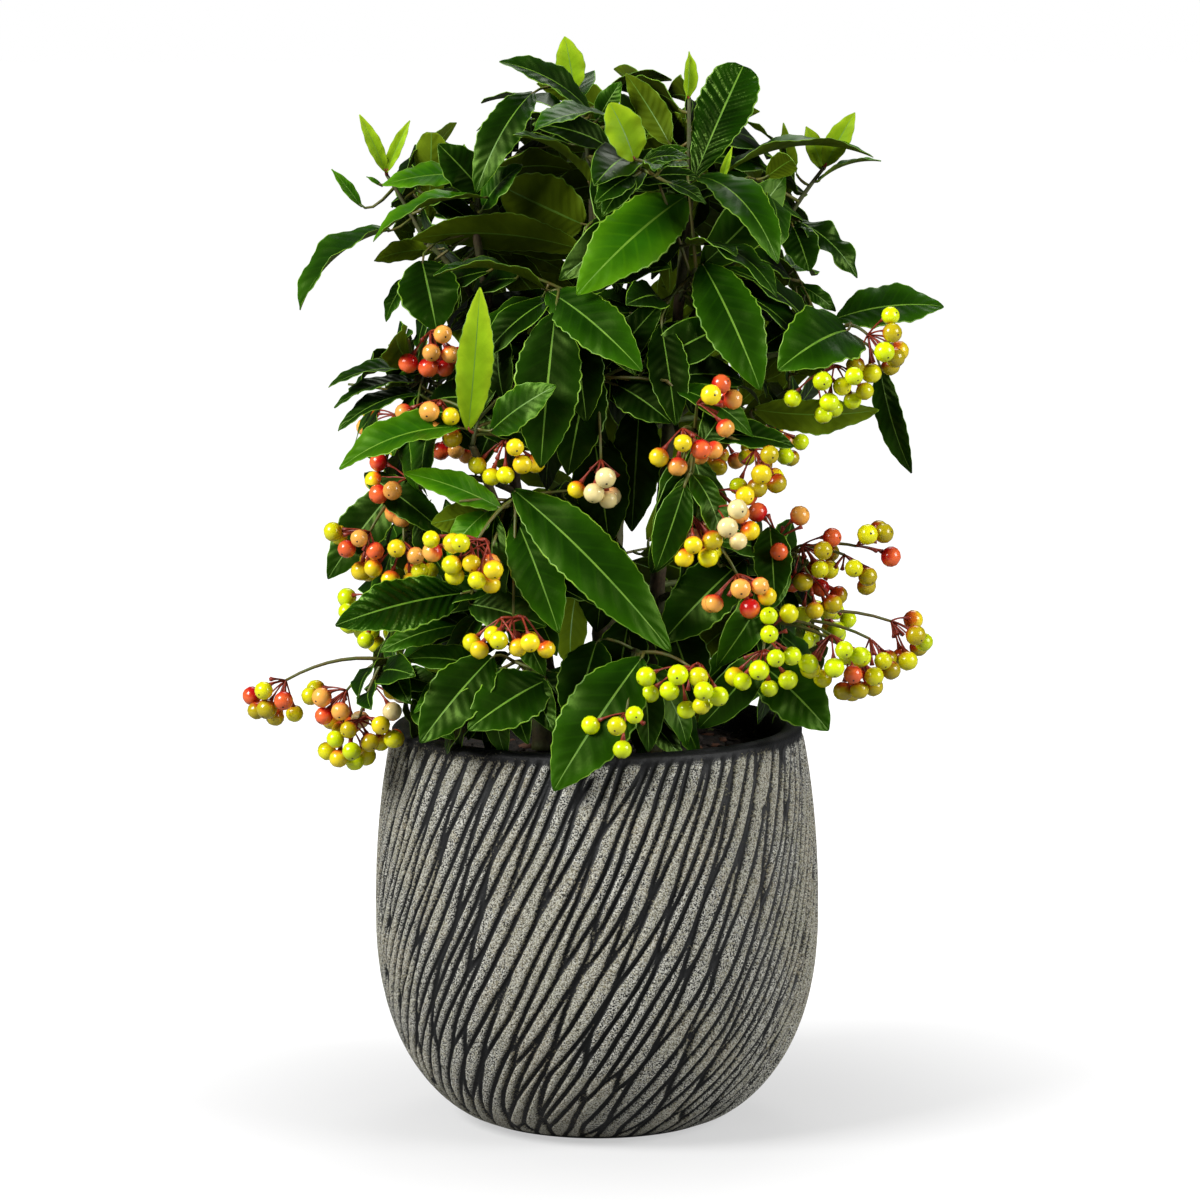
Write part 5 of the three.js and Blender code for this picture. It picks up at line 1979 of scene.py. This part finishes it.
@dataclass
class Planter:
    """The round-bellied planter, with slanting ribs that taper to a point."""

    height: float = 200.0
    foot: float = 53.0
    foot_curve: tuple[float, float] = (2.3, 0.588)
    belly: float = 111.4
    belly_height: float = 105.0
    rim: float = 102.4
    rim_curve: float = 2.2
    wall: float = 9.5
    floor: float = 12.0
    lip: float = 2.4
    turning: float = 0.0039
    foot_turning: float = 0.0045
    foot_easing: float = 3.6
    rib_depth: float = 1.9
    rib_foot: float = 1.5
    rib_top: float = 197.0
    rib_fades: tuple[float, float] = (3.0, 4.0)
    rib_width: float = 6.3
    rib_length: tuple[float, float] = (28.0, 130.0)
    rib_point: float = 1.5
    rib_stagger: float = 0.618
    groove: float = 0.7
    flank: float = 1.3
    uneven: tuple[float, float] = (0.4, 0.5)
    wobble: float = 0.003
    wobbles: tuple[tuple[float, float], ...] = ((7, 11), (16, -8))
    columns: int = 720
    rows: int = 104
    seed: int = 12

    ROW_EASING = 1.3
    INNER_LEVELS = (190, 165, 125, 85, 50, 26)
    WALL_SLACK = 0.5

    def wall_radius(self, z: float) -> float:
        """A full curve up from the foot, then a slight draw-in.

        Args:
            z: A height.

        Returns:
            The outer radius there.
        """
        if z > self.belly_height:
            share = (z - self.belly_height) / (self.height - self.belly_height)
            return self.belly - (self.belly - self.rim) * share ** self.rim_curve
        bulge, fullness = self.foot_curve
        fall = ((self.belly_height - z) / self.belly_height) ** bulge
        return self.foot + (self.belly - self.foot) * (1 - fall) ** fullness

    def profile(self) -> list[tuple[float, float]]:
        """The wall's section.

        Returns:
            Its corners, from the underside round the lip to the floor.
        """
        top = self.height - self.lip
        rise = [top * (i / self.rows) ** self.ROW_EASING for i in range(1, self.rows + 1)]
        outer = [(self.wall_radius(z), z) for z in rise]
        middle = self.wall_radius(self.height) - self.wall / 2
        bow = [math.radians(degrees) for degrees in range(20, 170, 20)]
        lip = [(middle + self.wall / 2 * math.cos(a), top + self.lip * math.sin(a)) for a in bow]
        inner = [(self.wall_radius(z) - self.wall, z) for z in self.INNER_LEVELS]
        base = [(0, 0), (self.foot - 2.5, 0), (self.foot - 0.6, 0.5)]
        return base + outer + lip + inner + [(48, self.floor + 3), (38, self.floor), (0, self.floor)]

    def slant(self, z: np.ndarray) -> np.ndarray:
        """How far a rib has turned at a height, in radians: flatter towards the foot."""
        eased = 1 - (1 - z / self.height) ** self.foot_easing
        return self.turning * z + self.foot_turning * self.height / self.foot_easing * eased

    def climb(self) -> tuple[np.ndarray, np.ndarray]:
        """The way up the wall.

        Returns:
            Heights, and how far it is to each along the wall.
        """
        levels = np.linspace(0, self.height, 401)
        radii = np.array([self.wall_radius(level) for level in levels])
        return levels, np.concatenate([[0], np.cumsum(np.hypot(np.diff(levels), np.diff(radii)))])

    def length(self, share: float) -> float:
        """A rib's length at a share of the way up: short at the foot, long under the rim."""
        low, high = self.rib_length
        return low + (high - low) * min(max(share, 0), 1)

    def ribs(self) -> np.ndarray:
        """Deals the ribs out in rows.

        Returns:
            The middle of each: its place round the wall, and its way up it.
        """
        draws = Draws(self.seed)
        levels, climbs = self.climb()
        aside, along = self.uneven
        found = []
        start = -self.length(0)
        while start < climbs[-1] + self.length(1):
            length = self.length(start / climbs[-1])
            radius = self.wall_radius(float(np.interp(start, climbs, levels)))
            count = round(math.tau * radius / self.rib_width)
            for number in range(count):
                turn = math.tau * (number + aside * (draws.next() - 0.5)) / count
                share = number * self.rib_stagger % 1 + along * (draws.next() - 0.5)
                found.append((turn, start + length * share))
            start += length
        return np.array(found)

    def crest(self, turn: np.ndarray, z: float, ribs: np.ndarray) -> np.ndarray:
        """How high the ribs stand at one height: each owns what lies nearest to it.

        Args:
            turn: Places round the wall, counted along the ribs.
            z: The height.
            ribs: The middles of all ribs.

        Returns:
            From 0 in a groove to 1 on a crest.
        """
        levels, climbs = self.climb()
        climb = float(np.interp(z, levels, climbs))
        near = ribs[np.abs(ribs[:, 1] - climb) < 1.1 * self.rib_length[1]]
        slimness = self.length(climb / climbs[-1]) / self.rib_width / self.rib_point
        bent = turn + self.wobble * sum(np.sin(times * turn + climb / rise) for times, rise in self.wobbles)
        across = ((bent[:, None] - near[:, 0] + math.pi) % math.tau - math.pi) * self.wall_radius(z)
        along = climb - near[:, 1]
        far = across ** 2 + (along / slimness) ** 2
        own = far.argmin(1)
        rows = np.arange(len(turn))
        lead = (far - far[rows, own][:, None]) / 2
        apart = np.abs(across - across[rows, own][:, None])
        slope = np.hypot(apart, (along - along[own][:, None]) / slimness ** 2)
        gap = np.where(apart > 0.3 * self.rib_width, lead / np.maximum(slope, 1e-6), np.inf).min(1)
        return smooth(self.groove, self.groove + self.flank, gap)

    def ridge(self, turn: np.ndarray, z: np.ndarray) -> np.ndarray:
        """How high the ribs stand on the wall.

        Args:
            turn: Places round it, counted along the ribs.
            z: Their heights.

        Returns:
            From 0 in a groove to 1 on a crest.
        """
        ribs = self.ribs()
        crests = np.zeros(len(z))
        for level in np.unique(z):
            ring = z == level
            crests[ring] = self.crest(turn[ring], float(level), ribs)
        low, high = self.rib_fades
        return (crests * (smooth(self.rib_foot, self.rib_foot + low, z)
                          * (1 - smooth(self.rib_top - high, self.rib_top, z))))

    def build(self) -> None:
        """Makes the planter: a plain round wall, then the grooves between its ribs."""
        mesh = mesh_of(spun(self.profile(), self.columns), "planter", STONEWARE.material())
        places = np.empty(len(mesh.vertices) * 3)
        mesh.vertices.foreach_get("co", places)
        x, y, z = places.reshape(-1, 3).T
        radius, turn = np.hypot(x, y), np.arctan2(y, x)
        walls = np.array([self.wall_radius(level) for level in np.clip(z, 0, self.height)])
        outside = radius > walls - self.WALL_SLACK
        ridge = np.zeros(len(z))
        ridge[outside] = self.ridge(turn[outside], z[outside])
        low, high = self.rib_fades
        band = smooth(0, self.rib_foot + low, z) * (1 - smooth(self.rib_top - high, self.rib_top + 1, z))
        radius = radius - np.where(outside, (1 - ridge) * self.rib_depth * band, 0)
        angle = turn + self.slant(z)
        places = np.stack([radius * np.cos(angle), radius * np.sin(angle), z], 1)
        mesh.vertices.foreach_set("co", (places * MILLIMETRE).astype(np.float32).ravel())
        mesh.attributes.new(RIDGE, "FLOAT", "POINT").data.foreach_set("value", ridge.astype(np.float32))
        mesh.update()
        finish_piece(mesh, ["pot"])


@dataclass
class Peat:
    """The peat in the planter: a plain plug with a lumpy top, and crumbs on it."""

    planter: Planter
    depth: float = 20.0
    steps: int = 120
    rings: int = 34
    shoulder: float = 4.0
    hollow: float = 1.5
    lump: float = 2.2
    lumps: tuple[tuple[float, float], ...] = ((1, 0.09), (0.6, 0.27), (0.35, 0.7))
    crumbs: int = 420
    crumb_margin: float = 4.0
    crumb_size: tuple[float, float] = (0.8, 1.9)
    crumb_stretch: tuple[float, float] = (1.0, 2.4)
    crumb_height: tuple[float, float] = (0.35, 0.85)
    crumb_rise: float = 0.15
    chip_every: int = 8
    moss_every: int = 23
    seed: int = 77

    def radius(self, z: float) -> float:
        """The radius that the planter's inside leaves it."""
        return self.planter.wall_radius(z) - self.planter.wall - GAP

    def level(self, x: float, y: float) -> float:
        """The height of the top at a place."""
        rough = sum(share * noise.noise(Vector((x, y, 0)) * scale) for share, scale in self.lumps)
        return SOIL_TOP - self.hollow + self.lump * rough

    def build(self) -> None:
        """Makes the peat and the crumbs."""
        edge = self.radius(SOIL_TOP)
        low = SOIL_TOP - self.depth
        plug = [(0, low), (self.radius(low), low), (edge, SOIL_TOP - self.shoulder)]
        bm = spun(plug + [(edge * (1 - i / self.rings), SOIL_TOP) for i in range(self.rings + 1)], self.steps)
        for vert in bm.verts:
            if vert.co.z > SOIL_TOP - 1:
                vert.co.z = self.level(vert.co.x, vert.co.y)
        bmesh.ops.scale(bm, vec=(MILLIMETRE,) * 3, verts=bm.verts)
        finish_piece(mesh_of(bm, "peat", PEAT.material()), ["soil"])
        self.build_crumbs(edge - self.crumb_margin)

    def build_crumbs(self, edge: float) -> None:
        """Scatters crumbs on the top.

        Args:
            edge: How far out they lie.
        """
        bm = bmesh.new()
        bmesh.ops.create_icosphere(bm, subdivisions=1, radius=1)
        form = Form.of(bm, lambda middle: 0, lambda co: (co.x, co.y))
        kinds = (PEAT, BARK_CHIP, MOSS_CHIP)
        draws, bundle = Draws(self.seed), Bundle("peat_crumbs", kinds)
        least, more = self.crumb_size
        for i in range(self.crumbs):
            reach, turn = edge * math.sqrt(draws.next()), math.tau * draws.next()
            x, y = reach * math.cos(turn), reach * math.sin(turn)
            size = least + more * draws.next() ** 2
            stretch = np.array([draws.between(*self.crumb_stretch), 1, draws.between(*self.crumb_height)])
            yaw = Matrix.Rotation(math.tau * draws.next(), 3, "Z")
            yaw @= Matrix.Rotation(draws.next() - 0.5, 3, "X")
            middle = (x, y, self.level(x, y) + size * self.crumb_rise)
            kind = kinds[(i % self.chip_every == self.chip_every - 1) + (i % self.moss_every == 0)]
            bundle.add(form, form.corners * (size * stretch) @ np.array(yaw).T + middle, [kind])
        bundle.build("soil", ["soil"])


# Camera, floor and light


WHITE = (1.0, 1.0, 1.0)


@dataclass(frozen=True)
class FloorFinish(Finish):
    """A pale floor that glows to the camera alone, less near the plant: the dimmer glow there is a painted
    shadow round the planter's foot.
    """

    grey: Colour
    roughness: float = 0.9
    painted_shadow_span: tuple[float, float] = (0.03, 0.45)
    glow: float = 0.50
    glow_beyond_painted_shadow: float = 0.50

    def feeds(self, net: Net) -> Feeds:
        """What feeds its shader.

        Args:
            net: Its net.

        Returns:
            Values by socket.
        """
        far = net.given("ShaderNodeVectorMath", {0: net.place()}, "Value", operation="LENGTH")
        # Painted shadow: the glow is weaker near the plant, so the floor reads darker round the planter's
        # foot.
        glow = far.step(*self.painted_shadow_span) * self.glow_beyond_painted_shadow + self.glow
        return {
            "Base Color": self.grey,
            "Roughness": self.roughness,
            "Emission Color": WHITE,
            "Emission Strength": glow * net.given("ShaderNodeLightPath", {}, "Is Camera Ray"),
        }


@dataclass(frozen=True)
class Lamp:
    """A square soft light on the plant: its place and side in metres, and its watts."""

    name: str
    place: Point
    size: float
    power: float

    TARGET = Vector((0, 0, 0.3))

    def build(self) -> None:
        """Hangs it up."""
        data = bpy.data.lights.new(self.name, "AREA")
        data.shape = "SQUARE"
        data.size = self.size
        data.energy = self.power
        lamp = stand(self.name, data)
        lamp.location = self.place
        lamp.rotation_euler = (self.TARGET - Vector(self.place)).to_track_quat("-Z", "Y").to_euler()


@dataclass
class Studio:
    """A pale floor, soft light and the photograph's view."""

    view: FrontView
    floor_size: float = 60.0
    ambient: float = 0.04
    clip: tuple[float, float] = (0.05, 100)
    lamps: tuple[Lamp, ...] = (
        Lamp("key", (-2.0, -1.3, 1.9), 1.2, 128),
        Lamp("fill", (2.2, -1.1, 1.3), 1.3, 66),
        Lamp("back", (0.3, 1.8, 2.4), 1.2, 16),
    )

    def add_camera(self) -> None:
        """Adds the camera."""
        data = bpy.data.cameras.new("camera")
        data.lens = self.view.lens
        data.sensor_width = self.view.sensor
        data.clip_start, data.clip_end = self.clip
        camera = stand("camera", data)
        camera.location = Vector(self.view.eye() * MILLIMETRE)
        aim = Vector(self.view.aim) * MILLIMETRE
        camera.rotation_euler = (aim - camera.location).to_track_quat("-Z", "Y").to_euler()
        bpy.context.scene.camera = camera

    def add_floor(self) -> None:
        """Adds the floor."""
        bm = bmesh.new()
        bmesh.ops.create_grid(bm, x_segments=1, y_segments=1, size=self.floor_size / 2)
        finish = FloorFinish("floor", (0.26, 0.26, 0.26))
        stand("floor", mesh_of(bm, "floor", finish.material()))

    def add_world(self) -> None:
        """Adds a background, white to the camera and dim to the plant."""
        world = bpy.data.worlds.new("world")
        world.use_nodes = True
        net = Net(world.node_tree)
        dim = next(node for node in world.node_tree.nodes if node.type == "BACKGROUND")
        out = next(node for node in world.node_tree.nodes if node.type == "OUTPUT_WORLD")
        net.feed(dim, {"Color": WHITE, "Strength": self.ambient})
        seen = net.given("ShaderNodeLightPath", {}, "Is Camera Ray")
        white = net.given("ShaderNodeBackground", {"Color": WHITE})
        both = net.given("ShaderNodeMixShader", {0: seen, 1: Value(net, dim.outputs[0]), 2: white})
        net.feed(out, {"Surface": both})
        bpy.context.scene.world = world

    def build(self) -> None:
        """Sets the scene up."""
        self.add_camera()
        self.add_floor()
        self.add_world()
        for lamp in self.lamps:
            lamp.build()
        bpy.context.scene.view_settings.view_transform = "Standard"


def main() -> None:
    """Builds the plant and its studio."""
    logging.basicConfig(level=logging.INFO, format="%(message)s")
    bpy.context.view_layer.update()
    view = FrontView()
    Studio(view).build()
    planter = Planter()
    planter.build()
    Peat(planter).build()
    build_clump()
    fruit = Fruit()
    foliage = Foliage(view)
    foliage.keep_berries_clear(fruit.hanging.centres)
    foliage.add_shown()
    log.info("ruled leaves: %d", foliage.add_ruled())
    foliage.build()
    fruit.build()
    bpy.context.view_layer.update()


if __name__ == "__main__":
    main()
